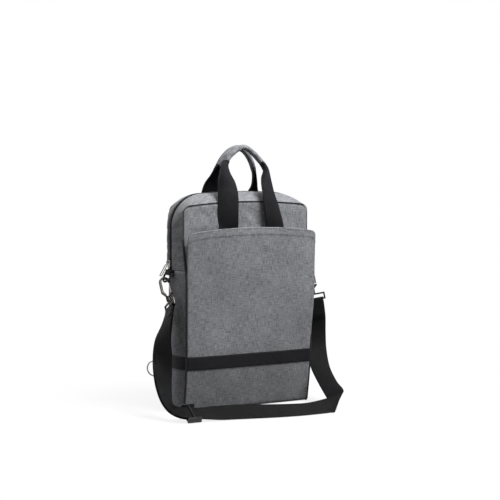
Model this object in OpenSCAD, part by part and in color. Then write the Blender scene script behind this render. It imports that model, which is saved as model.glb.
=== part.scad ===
// Tall soft laptop bag with an arched zip, two slip pockets, a pair of carry handles,
// and a shoulder strap clipped to a ring on each side.
// Millimetres. X to the right, -Y to the front, +Z up. The origin is on the floor,
// at the middle of the base.

/* [Body] */
// Width between the front seams
bag_w = 266; // [240:1:320]
// Depth between the front and back panels
bag_d = 84; // [70:1:110]
// Height of the front and back panels at their corners
bag_h = 390; // [370:1:470]
// How far a side gusset bulges past the seams
side_bulge = 10; // [6:1:16]
// How far the top rises from the panels' seam to the zip
crown_rise = 22; // [12:1:30]
// Rise of the panels' top edge between its corners
top_arch = 8; // [4:1:14]
// Corner radius of the panels
panel_corner = 14; // [8:1:24]
// Corner radius of the top along the zip
zip_corner = 64; // [50:1:68]
// Thickness of the padded fabric
shell_t = 2; // [1.5:0.1:3]
// Thickness of the lining
lining_t = 0.8; // [0.6:0.1:1.2]
// Thickness of the foam in the back
foam_t = 4; // [3:0.5:6]
// Thickness of the stiff board in the base
board_t = 2; // [1.5:0.5:3]
// Height of the seam across each side, where the zip ends
side_seam_z = 268; // [240:1:280]

/* [Pockets] */
// Height of a pocket's top edge
pocket_h = 343; // [300:1:350]
// How far the front pocket stands off its panel half way up
front_pocket_gap = 14; // [8:1:20]
// How far the back pocket stands off its panel half way up
back_pocket_gap = 20; // [12:1:26]
// How much further a pocket opens at its top
pocket_open = 5; // [2:1:10]
// How far a pocket stands off its panel at the base
pocket_foot_gap = 1; // [0.5:0.5:4]
// Height of the padded divider that makes the laptop sleeve
divider_h = 262; // [220:1:275]
// Thickness of the padded divider
divider_t = 4; // [3:0.5:6]
// Width of the organiser pocket inside the front
organiser_w = 200; // [150:1:230]
// Height of the organiser pocket
organiser_h = 140; // [100:1:180]

/* [Trim] */
// Width of the webbing band round the front and sides
band_w = 25; // [20:1:40]
// Height of the band's lower edge
band_z = 82; // [60:1:110]
// Thickness of the band
band_t = 1.2; // [0.8:0.1:2]
// Diameter of the piping on the front seams
piping_d = 4; // [3:0.5:5]

/* [Zip] */
// Width of the closed zip tape
tape_w = 12; // [9:1:16]
// Thickness of the tape
tape_t = 1; // [0.8:0.1:1.4]
// Gap between the two halves of the zip
tape_gap = 1.2; // [1:0.1:1.6]
// Height of the coil over the tape
coil_t = 1.1; // [0.8:0.1:1.6]
// Width of one half of the coil
coil_w = 1.6; // [1.2:0.1:2]
// Length of the zip slider
slider_l = 13; // [11:1:16]
// Length of the zip's pull
pull_l = 30; // [22:1:36]
// Width of the zip's pull
pull_w = 10; // [8:0.5:12]
// Angle at which the pull leans off the side
pull_lean = 30; // [26:1:45]

/* [Handles] */
// Width of the handle webbing
handle_w = 40; // [30:1:44]
// Thickness of the handle webbing
handle_t = 2; // [1.5:0.1:3]
// Distance between the middles of a handle's two legs
leg_spacing = 101; // [90:1:120]
// How far the handles sit right of the middle of the bag
handle_shift = 8; // [0:1:12]
// Height of the padded grip's middle over the front panel's top
grip_rise = 112; // [85:1:135]
// Thickness of the padded grip
grip_d = 16; // [13:1:19]

/* [Strap] */
// Width of the shoulder strap
strap_w = 38; // [30:1:40]
// Thickness of the shoulder strap
strap_t = 1.6; // [1.2:0.1:2]

/* [Rings and hooks] */
// Width of the webbing in every ring tab
tab_w = 25; // [20:1:26]
// Thickness of the tab webbing
tab_t = 1.6; // [1.2:0.1:2]
// Wire diameter of the side rings
ring_d = 4; // [3:0.2:4.4]
// Height of a side ring from its bar to its far wire
ring_h = 18; // [17:0.5:22]
// Wire diameter of the lower rings
lower_ring_d = 2.8; // [2.4:0.2:3.4]
// How far the lower tabs stand off the rear seams
lower_tab_l = 21; // [18:1:26]
// Height of the middle of the lower tabs
lower_tab_z = 71; // [45:1:75]
// Outer width of a snap hook
hook_w = 23; // [22:0.5:25]
// Width of the hook's metal
hook_stock = 4.2; // [3.6:0.1:4.4]
// Thickness of the hook
hook_t = 5; // [4.5:0.1:5.5]
// Length of the hook from the ring's wire to the strap's bar
hook_l = 54; // [52:0.5:58]
// Clearance between turning metal pieces
play = 0.3; // [0.3:0.05:0.5]

/* [Hidden] */

fabric = "#7d8084";
trim = "#1f1f22";
metal = "#77716e";
eps = 0.1;
wall_y = bag_d / 2;
half_w = bag_w / 2;
crown_z = bag_h + top_arch / 2 + crown_rise;
side_x = half_w + side_bulge;
mouth_z = pocket_h + 2; // the fold line of the opening front
side_r = (wall_y * wall_y + side_bulge * side_bulge) / (2 * side_bulge);
side_a = asin(wall_y / side_r);
panel_foot = shell_t + 1;
tape_end_z = side_seam_z + 2;

// ---- shared shapes ----

// Outline of the bag seen from the front: rounded top corners, and square below the foot
module front_outline(half, top, r) {
  hull() {
    for (s = [-1, 1]) translate([s * (half - r), top - r]) circle(r, $fn = 48);
    translate([-half, -1]) square([2 * half, 1]);
  }
}

// Panel outline with its top edge arched between the corners
module panel_outline(inset) {
  h = half_w - inset;
  arch_r = (half_w * half_w + top_arch * top_arch) / (2 * top_arch);
  intersection() {
    union() {
      translate([-h, 0]) square([2 * h, bag_h - panel_corner - inset]);
      for (s = [-1, 1])
        translate([s * (h - panel_corner), bag_h - panel_corner - inset])
          circle(panel_corner, $fn = 48);
      translate([-h + panel_corner, 0]) square([2 * (h - panel_corner), bag_h + top_arch]);
    }
    translate([0, bag_h + top_arch - inset - arch_r]) circle(arch_r, $fn = 240);
  }
}

// A flat panel between two heights, its outer face at y
module panel(y, t, z0, z1, inset = 0) {
  intersection() {
    translate([0, y + t, 0]) rotate([90, 0, 0]) linear_extrude(t) panel_outline(inset);
    translate([-bag_w, y - bag_d, z0]) cube([2 * bag_w, 2 * bag_d, z1 - z0]);
  }
}

// Arc of a side's plan curve, offset outwards, from the front seam to the back one
function side_arc(o) = [for (k = [-8:8]) let (a = side_a * k / 8)
  [half_w - (side_r - side_bulge) + (side_r + o) * cos(a) , (side_r + o) * sin(a)]];

module side_gusset(s) {
  inner = side_arc(-shell_t);
  n = len(inner);
  translate([0, 0, panel_foot]) linear_extrude(side_seam_z - panel_foot)
    mirror([s < 0 ? 1 : 0, 0])
      polygon(concat(side_arc(0), [for (k = [n - 1:-1:0]) inner[k]]));
}

// Half of the domed top: a shell from the zip tape out to one panel's seam.
// It keeps what lies between the heights z0 and z1.
module top_half(z0, z1, x0 = -1000, x1 = 1000) {
  module solid_half(inset, y0, y1) {
    hull() {
      for (q = [[tape_w / 2, side_x, crown_z, zip_corner, y0],
                [wall_y, half_w, bag_h + top_arch, panel_corner, y1]])
        translate([0, q[4], 0]) rotate([90, 0, 0]) linear_extrude(eps, center = true)
          front_outline(q[1] - inset, q[2] - inset, q[3] - inset);
    }
  }
  intersection() {
    difference() {
      solid_half(0, tape_w / 2, wall_y - eps / 2);
      solid_half(shell_t, tape_w / 2 - eps, wall_y + eps);
    }
    translate([x0, tape_w / 2, z0]) cube([x1 - x0, wall_y, z1 - z0]);
  }
}

// Strip of zip tape with half of the coil on it, on the +Y side
module tape_half(z0, z1, x0 = -1000, x1 = 1000) {
  module arch(y0, y1, proud, t) {
    translate([0, y1, 0]) rotate([90, 0, 0]) linear_extrude(y1 - y0) difference() {
      arch_face(proud);
      arch_face(proud - t);
    }
  }
  module arch_face(o) {
    translate([-side_x - o, 0]) square([2 * (side_x + o), crown_z - zip_corner]);
    for (s = [-1, 1])
      translate([s * (side_x - zip_corner), crown_z - zip_corner])
        circle(zip_corner + o, $fn = 64);
    translate([zip_corner - side_x, 0])
      square([2 * (side_x - zip_corner), crown_z + o]);
  }
  intersection() {
    union() {
      arch(tape_gap / 2, tape_w / 2 - eps, 0, tape_t);
      arch(tape_gap / 2, tape_gap / 2 + coil_w, coil_t, coil_t + tape_t);
    }
    translate([x0, 0, z0]) cube([x1 - x0, wall_y, z1 - z0]);
  }
}

// Distance from the panel to a pocket's outer face at height z
function pocket_off(z, gap = front_pocket_gap) = pocket_foot_gap + shell_t
  + gap * sin(90 * min(1, z / (0.35 * pocket_h))) + pocket_open * pow(z / pocket_h, 4);
pocket_steps = [for (k = [0:14]) panel_foot + (pocket_h - panel_foot) * k / 14];

// Pocket front: a curved sheet with rounded top corners, on the -Y side
module pocket_panel(gap) {
  corner = 12;
  face = concat([for (z = pocket_steps) [-wall_y - pocket_off(z, gap), z]],
    [for (k = [14:-1:0]) let (z = pocket_steps[k]) [-wall_y - pocket_off(z, gap) + shell_t, z]]);
  intersection() {
    translate([-half_w, 0, 0]) rotate([90, 0, 90]) linear_extrude(bag_w) polygon(face);
    translate([0, -wall_y, 0]) rotate([90, 0, 0]) linear_extrude(bag_d) {
      for (s = [-1, 1])
        translate([s * (half_w - corner), pocket_h - corner]) circle(corner, $fn = 48);
      translate([corner - half_w, 0]) square([bag_w - 2 * corner, pocket_h]);
      translate([-half_w, 0]) square([bag_w, pocket_h - corner]);
    }
  }
}

// Wedge that joins a pocket's side edge to the front seam, on the -Y side
module pocket_gusset(s, gap) {
  steps = [for (z = pocket_steps) if (z > 0.06 * pocket_h && z < pocket_h - 14) z];
  n = len(steps);
  wedge = concat([for (z = steps) [-wall_y - pocket_off(z, gap) + shell_t + eps, z]],
    [for (k = [n - 1:-1:0]) [-wall_y - eps, steps[k]]]);
  gusset_t = shell_t * 0.8;
  translate([s > 0 ? half_w - gusset_t : -half_w, 0, 0])
    rotate([90, 0, 90]) linear_extrude(gusset_t) polygon(wedge);
}

// ---- ribbons and tubes carried along hand-set points ----
// A row is [x, y, z, half-width vector]; rows between them follow a Catmull-Rom curve.

function spline(p, i, t) = let (n = len(p) - 1, a = p[max(i - 1, 0)], b = p[i],
  c = p[i + 1], d = p[min(i + 2, n)])
  0.5 * (2 * b + (c - a) * t + (2 * a - 5 * b + 4 * c - d) * t * t
  + (3 * b - a - 3 * c + d) * t * t * t);
function fine(rows, per) = concat([for (i = [0:len(rows) - 2], k = [0:per - 1])
  spline(rows, i, k / per)], [rows[len(rows) - 1]]);
function place(row) = [row[0], row[1], row[2]];
function across(row) = [row[3], row[4], row[5]];
function unit(v) = v / norm(v);
function heading(r, i) = unit(place(r[min(i + 1, len(r) - 1)]) - place(r[max(i - 1, 0)]));

// One solid swept through the rings of points
module skin(rings) {
  n = len(rings);
  m = len(rings[0]);
  points = [for (r = rings, p = r) p];
  sides = [for (i = [0:n - 2], j = [0:m - 1])
    each [[i * m + j, (i + 1) * m + j, (i + 1) * m + (j + 1) % m],
          [i * m + j, (i + 1) * m + (j + 1) % m, i * m + (j + 1) % m]]];
  ends = [[for (j = [0:m - 1]) j], [for (j = [m - 1:-1:0]) (n - 1) * m + j]];
  polyhedron(points, concat(sides, ends));
}

// Flat webbing: an eight-sided section as wide as the rows say and t thick
module ribbon(rows, t, per) {
  r = fine(rows, per);
  edge = 1 - 0.7 * t / norm(across(rows[0]));
  section = [[-1, -0.2], [-edge, -0.42], [0, -0.5], [edge, -0.42],
             [1, 0.2], [edge, 0.42], [0, 0.5], [-edge, 0.42]];
  skin([for (i = [0:len(r) - 1]) let (h = across(r[i]), n = unit(cross(heading(r, i), h)))
    [for (q = section) place(r[i]) + h * q[0] + n * (t * q[1])]]);
}

// ---- routes, in millimetres ----

// From the right hook down to the floor, along it to the left and up to the slider: places and
// half-width vectors for a bag 266 wide and a strap 38 wide
strap_rows = [
  [169, -12, 192, 16, -9, 4], [172, -13, 162, 17, -9, 2], [172, -14, 130, 17, -9, 0],
  [168, -24, 98, 17, -9, 0], [158, -54, 67, 17, -9, 0], [147, -100, 45, 16, -10, 1],
  [138, -143, 30, 16, -4, 8], [131, -169, 20, 13, 6, 18], [106, -166, 16, 2, 13, 14],
  [75, -163, 14, 0, 14, 13], [40, -162, 14, 0, 14, 13], [0, -157, 13, 0, 15, 12],
  [-40, -149, 13, 0, 15, 11], [-78, -140, 12, 0, 16, 10], [-106, -134, 12, 0, 17, 9],
  [-130, -129, 13.6, 1, 17, 8], [-148, -126, 14, 2, 17, 7], [-166, -123, 14, 2, 17, 7],
  [-180, -115, 16, 5, 17, 6], [-187, -98, 22, 10, 15, 4], [-188, -80, 36, 15, 11, 2],
  [-187, -66, 58, 18, 6, 0], [-185, -58, 85, 19, 0, 0], [-183, -54, 112, 15, -11, 0],
  [-179, -50, 142, 8, -17, 2], [-168, -45, 171, 2, -18, 6], [-157, -35, 196, 0, -17, 9]];

// The route moves out with the bag's sides and widens with the strap
strap_route = [for (r = strap_rows) concat(
  [r[0] + (half_w - 133) * max(-1, min(1, r[0] / 100)), r[1], r[2]],
  strap_w / 38 * [r[3], r[4], r[5]])];

slider_row = 16; // the slider sits half way between this row and the next

// The end that comes back from the left hook's bar to the slider, over the strap
return_gap = 3.4;

module shoulder_strap() {
  color(trim) ribbon(strap_route, strap_t, 3);
}

// The second layer lies along the outside of the strap from the slider up to the hook
module strap_return() {
  r = fine([for (i = [slider_row:len(strap_route) - 1]) strap_route[i]], 3);
  lifted = [for (i = [0:len(r) - 1])
    let (n = unit(cross(across(r[i]), heading(r, i))), p = place(r[i]) + n * return_gap)
    concat(p, 0.97 * across(r[i]))];
  color(trim) ribbon(lifted, strap_t, 1);
}

// ---- soft parts ----

module base_panel() {
  foot_y = wall_y + pocket_foot_gap + shell_t;
  side = concat([[half_w, -foot_y]], side_arc(0), [[half_w, foot_y]]);
  color(fabric) linear_extrude(shell_t) polygon(concat(side, [for (p = side) -p]));
}

module base_board() {
  board_w = bag_w - 16;
  board_d = bag_d - 8;
  color("#202022") translate([0, 0, shell_t + eps])
    linear_extrude(board_t) square([board_w, board_d], center = true);
}

module left_side_gusset() { color(fabric) side_gusset(-1); }
module right_side_gusset() { color(fabric) side_gusset(1); }

seam_in = shell_t + eps; // the panels sit this far inside the gussets' outer faces
module front_panel() { color(fabric) panel(-wall_y, shell_t, panel_foot, mouth_z, seam_in); }
module front_top_panel() { color(fabric) panel(-wall_y, shell_t, mouth_z, 2 * bag_h, seam_in); }
module back_panel() {
  color(fabric) panel(wall_y - shell_t, shell_t, panel_foot, 2 * bag_h, seam_in);
}

module back_foam() {
  color("#303236") translate([0, -shell_t - eps, 0])
    panel(wall_y - foam_t, foam_t, panel_foot + board_t + 2, bag_h - 20, 10);
}

module rear_zip_gusset() { color(fabric) top_half(side_seam_z, 1000); }
module front_zip_gusset_left() {
  color(fabric) mirror([0, 1, 0]) top_half(side_seam_z, mouth_z, -1000, 0);
}
module front_zip_gusset_right() {
  color(fabric) mirror([0, 1, 0]) top_half(side_seam_z, mouth_z, 0, 1000);
}
module front_zip_gusset_top() { color(fabric) mirror([0, 1, 0]) top_half(mouth_z, 1000); }

module rear_zip_tape() { color(trim) tape_half(tape_end_z, 1000); }
module front_zip_tape_left() {
  color(trim) mirror([0, 1, 0]) tape_half(tape_end_z, mouth_z, -1000, 0);
}
module front_zip_tape_right() {
  color(trim) mirror([0, 1, 0]) tape_half(tape_end_z, mouth_z, 0, 1000);
}
module front_zip_tape_top() { color(trim) mirror([0, 1, 0]) tape_half(mouth_z, 1000); }

lining_w = bag_w - 2 * shell_t - 2;
lining_front = -wall_y + shell_t + eps;
lining_back = wall_y - shell_t - foam_t - 2 * eps;
lining_foot = shell_t + board_t + 2 * eps;

// Open-topped inner bag
module lining() {
  color("#3c3f45") difference() {
    translate([-lining_w / 2, lining_front, lining_foot])
      cube([lining_w, lining_back - lining_front, mouth_z - 5 - lining_foot]);
    translate([-lining_w / 2 + lining_t, lining_front + lining_t, lining_foot + lining_t])
      cube([lining_w - 2 * lining_t, lining_back - lining_front - 2 * lining_t, bag_h]);
  }
}

sleeve_d = 24;
inner_w = lining_w - 2 * lining_t;

// Padded divider between the laptop sleeve and the main space
module laptop_divider() {
  foot = lining_foot + lining_t;
  color("#3c3f45") translate([-inner_w / 2, lining_back - lining_t - sleeve_d - divider_t, foot])
    cube([inner_w, divider_t, divider_h - foot]);
}

// Flat pocket sewn along three edges to the inside of the front
module organiser_pocket() {
  space = 3;
  hem = 4;
  y0 = lining_front + lining_t;
  color("#34373c") translate([-organiser_w / 2, y0, pocket_h - 75 - organiser_h]) difference() {
    cube([organiser_w, space + 1, organiser_h]);
    translate([hem, -eps, hem]) cube([organiser_w - 2 * hem, space + eps, organiser_h]);
  }
}

module front_pocket_panel() { color(fabric) pocket_panel(front_pocket_gap); }
module front_pocket_gusset_left() { color(fabric) pocket_gusset(-1, front_pocket_gap); }
module front_pocket_gusset_right() { color(fabric) pocket_gusset(1, front_pocket_gap); }
module back_pocket_panel() {
  color(fabric) mirror([0, 1, 0]) pocket_panel(back_pocket_gap);
}
module back_pocket_gusset_left() {
  color(fabric) mirror([0, 1, 0]) pocket_gusset(-1, back_pocket_gap);
}
module back_pocket_gusset_right() {
  color(fabric) mirror([0, 1, 0]) pocket_gusset(1, back_pocket_gap);
}

// Band round the front pocket and both sides, up to the rear seams
module bottom_band() {
  stand = pocket_off(band_z + band_w) + 0.3;
  out = piping_d + 0.5;
  function half_ring(o) = concat([[half_w + 1, -wall_y - stand - o],
    [half_w + out + o, -wall_y - stand + 1], [half_w + out + o, -wall_y]],
    [for (p = side_arc(0.2 + o)) if (p[0] > half_w + out) p], [[half_w + 2 + o, wall_y - 2]]);
  function u_line(o) = let (h = half_ring(o), n = len(h))
    concat([for (k = [n - 1:-1:0]) [-h[k][0], h[k][1]]], h);
  inner = u_line(0);
  color(trim) translate([0, 0, band_z]) linear_extrude(band_w)
    polygon(concat(u_line(band_t), [for (k = [len(inner) - 1:-1:0]) inner[k]]));
}

// Covered cord in the front seam. It lies along the pocket's edge, and leaves it near the
// top, where the pocket's side opens.
function piping_y(z) = let (low = max(0, min(1, (0.95 * pocket_h - z) / (0.25 * pocket_h))))
  -wall_y - piping_d / 2 - low * low * (3 - 2 * low) * max(0, pocket_off(z) - 5);
module piping(s) {
  r = piping_d / 2;
  top = pocket_h - 14;
  zs = [for (k = [0:24]) panel_foot + (top - panel_foot) * k / 24];
  color(trim) skin([for (z = zs) [for (a = [0:22.5:359])
    [s * (half_w + r + eps) + r * cos(a), piping_y(z) + eps + r * sin(a), z]]]);
}
module piping_left() { piping(-1); }
module piping_right() { piping(1); }

// ---- handles: built at the front, and mirrored for the rear ----

hinge_y = -wall_y - 3; // where the webbing leaves the panel
grip_z = bag_h + grip_rise;
grip_y = -grip_d / 2 - 2;
grip_half = 43;

// Middle line of the grip: a peak that slopes 0.95 each way, blunted over 10 mm
function grip_at(x) =
  [x, grip_y - 2 * pow(x / grip_half, 2), grip_z + 10 - sqrt(100 + pow(0.95 * x, 2))];
function grip_heading(x) = unit(grip_at(x + 0.5) - grip_at(x - 0.5));

// The webbing starts flat, bows out, then folds narrow into the grip
module handle_leg(s) {
  x = s * leg_spacing / 2;
  w = handle_w / 2;
  rise = grip_rise;
  way = s * grip_heading(s * grip_half);
  end = grip_at(s * grip_half) + 0.4 * way;
  side = 0.28 * w * cross(way, [0, 1, 0]);
  rows = [
    [x, hinge_y, mouth_z + 1, w, 0, 0],
    [x, hinge_y - 5, bag_h - 0.136 * rise, 0.98 * w, s * 2, 0],
    [x - s, hinge_y - 3, bag_h + 0.131 * rise, 0.9 * w, s * 6, 0],
    [x - s * 3, hinge_y + 9, bag_h + 0.383 * rise, 0.7 * w, s * 6, 0],
    [x - s * 5, grip_y - 11, bag_h + 0.579 * rise, 0.4 * w, s * 3, 0],
    [end[0], grip_y - 3, end[2], side[0], 0, side[2]]];
  color(trim) translate([handle_shift, 0, 0]) ribbon(rows, handle_t, 3);
}

// Padded wrap round the folded webbing: an oval tube along the peak
module handle_grip() {
  rings = [for (k = [-8:8])
    let (x = grip_half * k / 8, n = cross(grip_heading(x), [0, 1, 0]))
    [for (a = [0:30:331])
      grip_at(x) + n * (0.36 * grip_d * cos(a)) + [0, 1, 0] * (0.5 * grip_d * sin(a))]];
  color(fabric) translate([handle_shift, 0, 0]) skin(rings);
}

module front_handle_left_leg() { handle_leg(-1); }
module front_handle_right_leg() { handle_leg(1); }
module front_handle_grip() { handle_grip(); }
module rear_handle_left_leg() { mirror([0, 1, 0]) handle_leg(-1); }
module rear_handle_right_leg() { mirror([0, 1, 0]) handle_leg(1); }
module rear_handle_grip() { mirror([0, 1, 0]) handle_grip(); }

// Ends of the handle webbing, sewn to the panels behind the pockets
module handle_anchors() {
  anchor_h = 60;
  color(trim) for (f = [-1, 1], s = [-1, 1])
    translate([handle_shift + s * leg_spacing / 2 - handle_w / 2,
               f * (wall_y + handle_t / 2 + eps) - handle_t / 2, mouth_z - anchor_h])
      cube([handle_w, handle_t, anchor_h - 1]);
}

// ---- side tabs, rings and hooks ----

tab_y = -6;
bar_x = side_x + 4.5;
bar_z = side_seam_z - 6;
left_swing = 32;
right_swing = 45;
left_tilt = [-30, 0, 0];
right_tilt = [-6, -9, 0];
ring_r = tab_w / 2 + 1 + ring_d / 2;
tab_eye = ring_d / 2 + play;

// Webbing loop sewn into the side seam round the ring's bar
module side_tab(s) {
  color(trim) mirror([s < 0 ? 1 : 0, 0, 0]) translate([bar_x, tab_y + tab_w / 2, bar_z])
    rotate([90, 0, 0]) linear_extrude(tab_w) difference() {
      union() {
        circle(tab_eye + tab_t, $fn = 48);
        translate([side_x - bar_x + 0.2, 0]) square([bar_x - side_x - 0.2 + tab_eye, 7]);
      }
      circle(tab_eye, $fn = 48);
    }
}
module left_side_tab() { side_tab(-1); }
module right_side_tab() { side_tab(1); }

// D-shaped wire: the bar lies on Y at the origin, and the bow hangs down
module d_wire(r, bow, drop, length) {
  rotate([90, 0, 0]) cylinder(h = 2 * length, r = r, center = true, $fn = 32);
  for (s = [-1, 1]) translate([0, s * length, -drop]) cylinder(h = drop, r = r, $fn = 32);
  for (s = [-1, 1]) translate([0, s * length, 0]) sphere(r, $fn = 32);
  translate([0, 0, -drop]) intersection() {
    rotate([0, 90, 0]) rotate_extrude($fn = 96) translate([length, 0]) circle(r, $fn = 32);
    translate([-5 * r, -2 * bow, -2 * bow]) cube([10 * r, 4 * bow, 2 * bow]);
  }
}
module side_ring(s, swing) {
  color(metal) translate([s * bar_x, tab_y, bar_z]) rotate([0, -s * swing, 0])
    d_wire(ring_d / 2, ring_r, ring_h - ring_r, ring_r);
}
module left_d_ring() { side_ring(-1, left_swing); }
module right_d_ring() { side_ring(1, right_swing); }

// Moves a piece built about the ring's wire to its side of the bag
module at_hook(s) {
  swing = s < 0 ? left_swing : right_swing;
  translate([s * (bar_x + ring_h * sin(swing)), tab_y, bar_z - ring_h * cos(swing)])
    rotate(s < 0 ? left_tilt : right_tilt) children();
}

claw_r = hook_w / 2 - hook_stock / 2; // radius to the middle of the metal
claw_top = ring_d / 2 + 2.8 + hook_stock / 2; // the claw's middle line over the wire
claw_z = claw_top - claw_r;
gate_top = claw_z - 2;
gate_foot = -23;
collar_z = -34;
collar_h = 7;
stud_r = 2;
eye_h = hook_l + collar_z - collar_h;

// Flat bar between two points in the hook's plane, with round ends
module hook_bar(a, b, w) {
  d = b - a;
  translate([a[0], a[1]]) rotate(atan2(d[1], d[0])) translate([0, -w / 2]) square([norm(d), w]);
  for (p = [a, b]) translate([p[0], p[1]]) circle(w / 2, $fn = 32);
}

module hook_body() {
  difference() {
    union() {
      rotate([90, 0, 0]) linear_extrude(hook_t, center = true) difference() {
        union() {
          intersection() {
            difference() {
              translate([0, claw_z]) circle(claw_r + hook_stock / 2, $fn = 72);
              translate([0, claw_z]) circle(claw_r - hook_stock / 2, $fn = 72);
            }
            translate([-hook_w, claw_z]) square([2 * hook_w, hook_w]);
          }
          hook_bar([-claw_r, claw_z], [-claw_r, gate_foot], hook_stock);
          hook_bar([-claw_r, gate_foot], [0, collar_z + 2], hook_stock);
          hook_bar([claw_r, gate_foot - 2], [0, collar_z + 2], hook_stock);
        }
        translate([claw_r - hook_stock, gate_foot - play]) square([2 * hook_stock, 12]);
      }
      translate([0, 0, collar_z - collar_h]) cylinder(h = collar_h + 3, r = stud_r + 2.6, $fn = 40);
    }
    translate([0, 0, collar_z - collar_h - 1]) cylinder(h = collar_h + 20, r = stud_r + play, $fn = 32);
    translate([0, 0, collar_z + 1]) cylinder(h = 8, r = stud_r + 1.2 + play, $fn = 32);
  }
}

// Sprung bar that closes the claw: it turns on a pin at its foot
module hook_gate() {
  rotate([90, 0, 0]) linear_extrude(hook_t - 1.4, center = true)
    hook_bar([claw_r, gate_foot + hook_stock / 2 + play], [claw_r, gate_top - hook_stock / 2],
      hook_stock - 1);
}

// Rectangular strap eye with a headed stud that turns in the hook's collar
module swivel_eye(turn) {
  inner = strap_w / 2 + 1;
  bar = 3.2;
  rotate([0, 0, turn]) {
    translate([0, 0, -hook_l]) rotate([0, 90, 0]) rotate([0, 0, 90])
      linear_extrude(bar, center = true) difference() {
        translate([-inner - bar, -bar / 2]) square([2 * (inner + bar), eye_h - play + bar / 2]);
        translate([-inner, bar / 2]) square([2 * inner, eye_h - play - bar - bar / 2]);
      }
    translate([0, 0, collar_z - collar_h - play - 1])
      cylinder(h = collar_h + play + 3, r = stud_r, $fn = 32);
    translate([0, 0, collar_z + 1 + play]) cylinder(h = 1.6, r = stud_r + 1.2, $fn = 32);
  }
}

left_eye_turn = 0;
right_eye_turn = 62;
module left_hook() { color(metal) at_hook(-1) hook_body(); }
module right_hook() { color(metal) at_hook(1) hook_body(); }
module left_hook_gate() { color(metal) at_hook(-1) hook_gate(); }
module right_hook_gate() { color(metal) at_hook(1) hook_gate(); }
module left_swivel_eye() { color(metal) at_hook(-1) swivel_eye(left_eye_turn); }
module right_swivel_eye() { color(metal) at_hook(1) swivel_eye(right_eye_turn); }

// ---- lower tabs and rings, on the rear seams ----

lower_splay = 38;
lower_ring_r = tab_w / 2 + 1 + lower_ring_d / 2;

// Built with the seam at the origin and the tab along +X
module at_lower(s) {
  mirror([s < 0 ? 1 : 0, 0, 0]) translate([half_w + 1, wall_y + 1, lower_tab_z])
    rotate([0, 0, lower_splay]) children();
}
module lower_tab(s) {
  r = lower_ring_d / 2 + play;
  color(trim) at_lower(s) linear_extrude(tab_w, center = true) difference() {
    union() {
      translate([lower_tab_l, 0]) circle(r + tab_t, $fn = 40);
      translate([0, -tab_t]) square([lower_tab_l, 2 * tab_t]);
    }
    translate([lower_tab_l, 0]) circle(r, $fn = 40);
  }
}
module lower_ring(s) {
  color(metal) at_lower(s) translate([lower_tab_l, 0, 0])
    rotate([0, 0, -90]) rotate([90, 0, 0])
      d_wire(lower_ring_d / 2, lower_ring_r, 1, lower_ring_r);
}
module lower_left_tab() { lower_tab(-1); }
module lower_right_tab() { lower_tab(1); }
module lower_left_ring() { lower_ring(-1); }
module lower_right_ring() { lower_ring(1); }

// ---- zip hardware ----

zip_x = -side_x;
slider_z = tape_end_z + 4;
rib_x = zip_x - coil_t;
plate_t = 1.4;
ear_t = 1;
pin_r = 0.9;
pull_pivot = [rib_x - play - plate_t - 2, 0, slider_z + slider_l - 4];

module zip_slider() {
  half = coil_w + tape_gap / 2;
  web = tape_gap / 2 - play;
  plate_x = rib_x - play - plate_t;
  color(metal) difference() {
    union() {
      translate([plate_x, -half - 2.2, slider_z]) cube([plate_t, 2 * (half + 2.2), slider_l]);
      for (s = [-1, 1]) translate([plate_x, s * (half + 1.4) - 0.8, slider_z])
        cube([plate_t + play + coil_t - 0.4, 1.6, slider_l]);
      translate([plate_x, -web, slider_z + slider_l - 5])
        cube([plate_t + play + coil_t + tape_t + play + plate_t, 2 * web, 5]);
      translate([zip_x + tape_t + play, -half - 1, slider_z]) cube([plate_t, 2 * (half + 1), slider_l]);
      for (s = [-1, 1]) translate([pull_pivot[0] - 2, s * 2.4 - ear_t / 2, pull_pivot[2] - 2.2])
        cube([4.2, ear_t, 4.4]);
    }
    translate(pull_pivot) rotate([90, 0, 0]) cylinder(h = 20, r = pin_r + play, center = true, $fn = 24);
  }
}

// Open rectangular pull on a pin between the slider's ears
module zip_pull() {
  frame_w = 1.6;
  stem = 5;
  color(metal) translate(pull_pivot) rotate([0, pull_lean, 0]) {
    rotate([90, 0, 0]) cylinder(h = 6.4, r = pin_r, center = true, $fn = 24);
    translate([-0.7, -1.2, -stem]) cube([1.4, 2.4, stem]);
    difference() {
      translate([-0.8, -pull_w / 2, -pull_l]) cube([1.6, pull_w, pull_l - stem]);
      translate([-2, -pull_w / 2 + frame_w, -pull_l + frame_w])
        cube([4, pull_w - 2 * frame_w, pull_l - stem - 2 * frame_w]);
    }
  }
}

// Small crimped stops at the two ends of the zip
module zip_stop(s) {
  half = coil_w + tape_gap / 2 + 0.5;
  color(metal) mirror([s < 0 ? 1 : 0, 0, 0])
    translate([side_x + coil_t + eps, -half, tape_end_z + 0.4]) cube([1.6, 2 * half, 2.8]);
}
module zip_bottom_stop() { zip_stop(1); }
module zip_top_stop() { zip_stop(-1); }

// ---- strap adjuster ----

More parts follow.
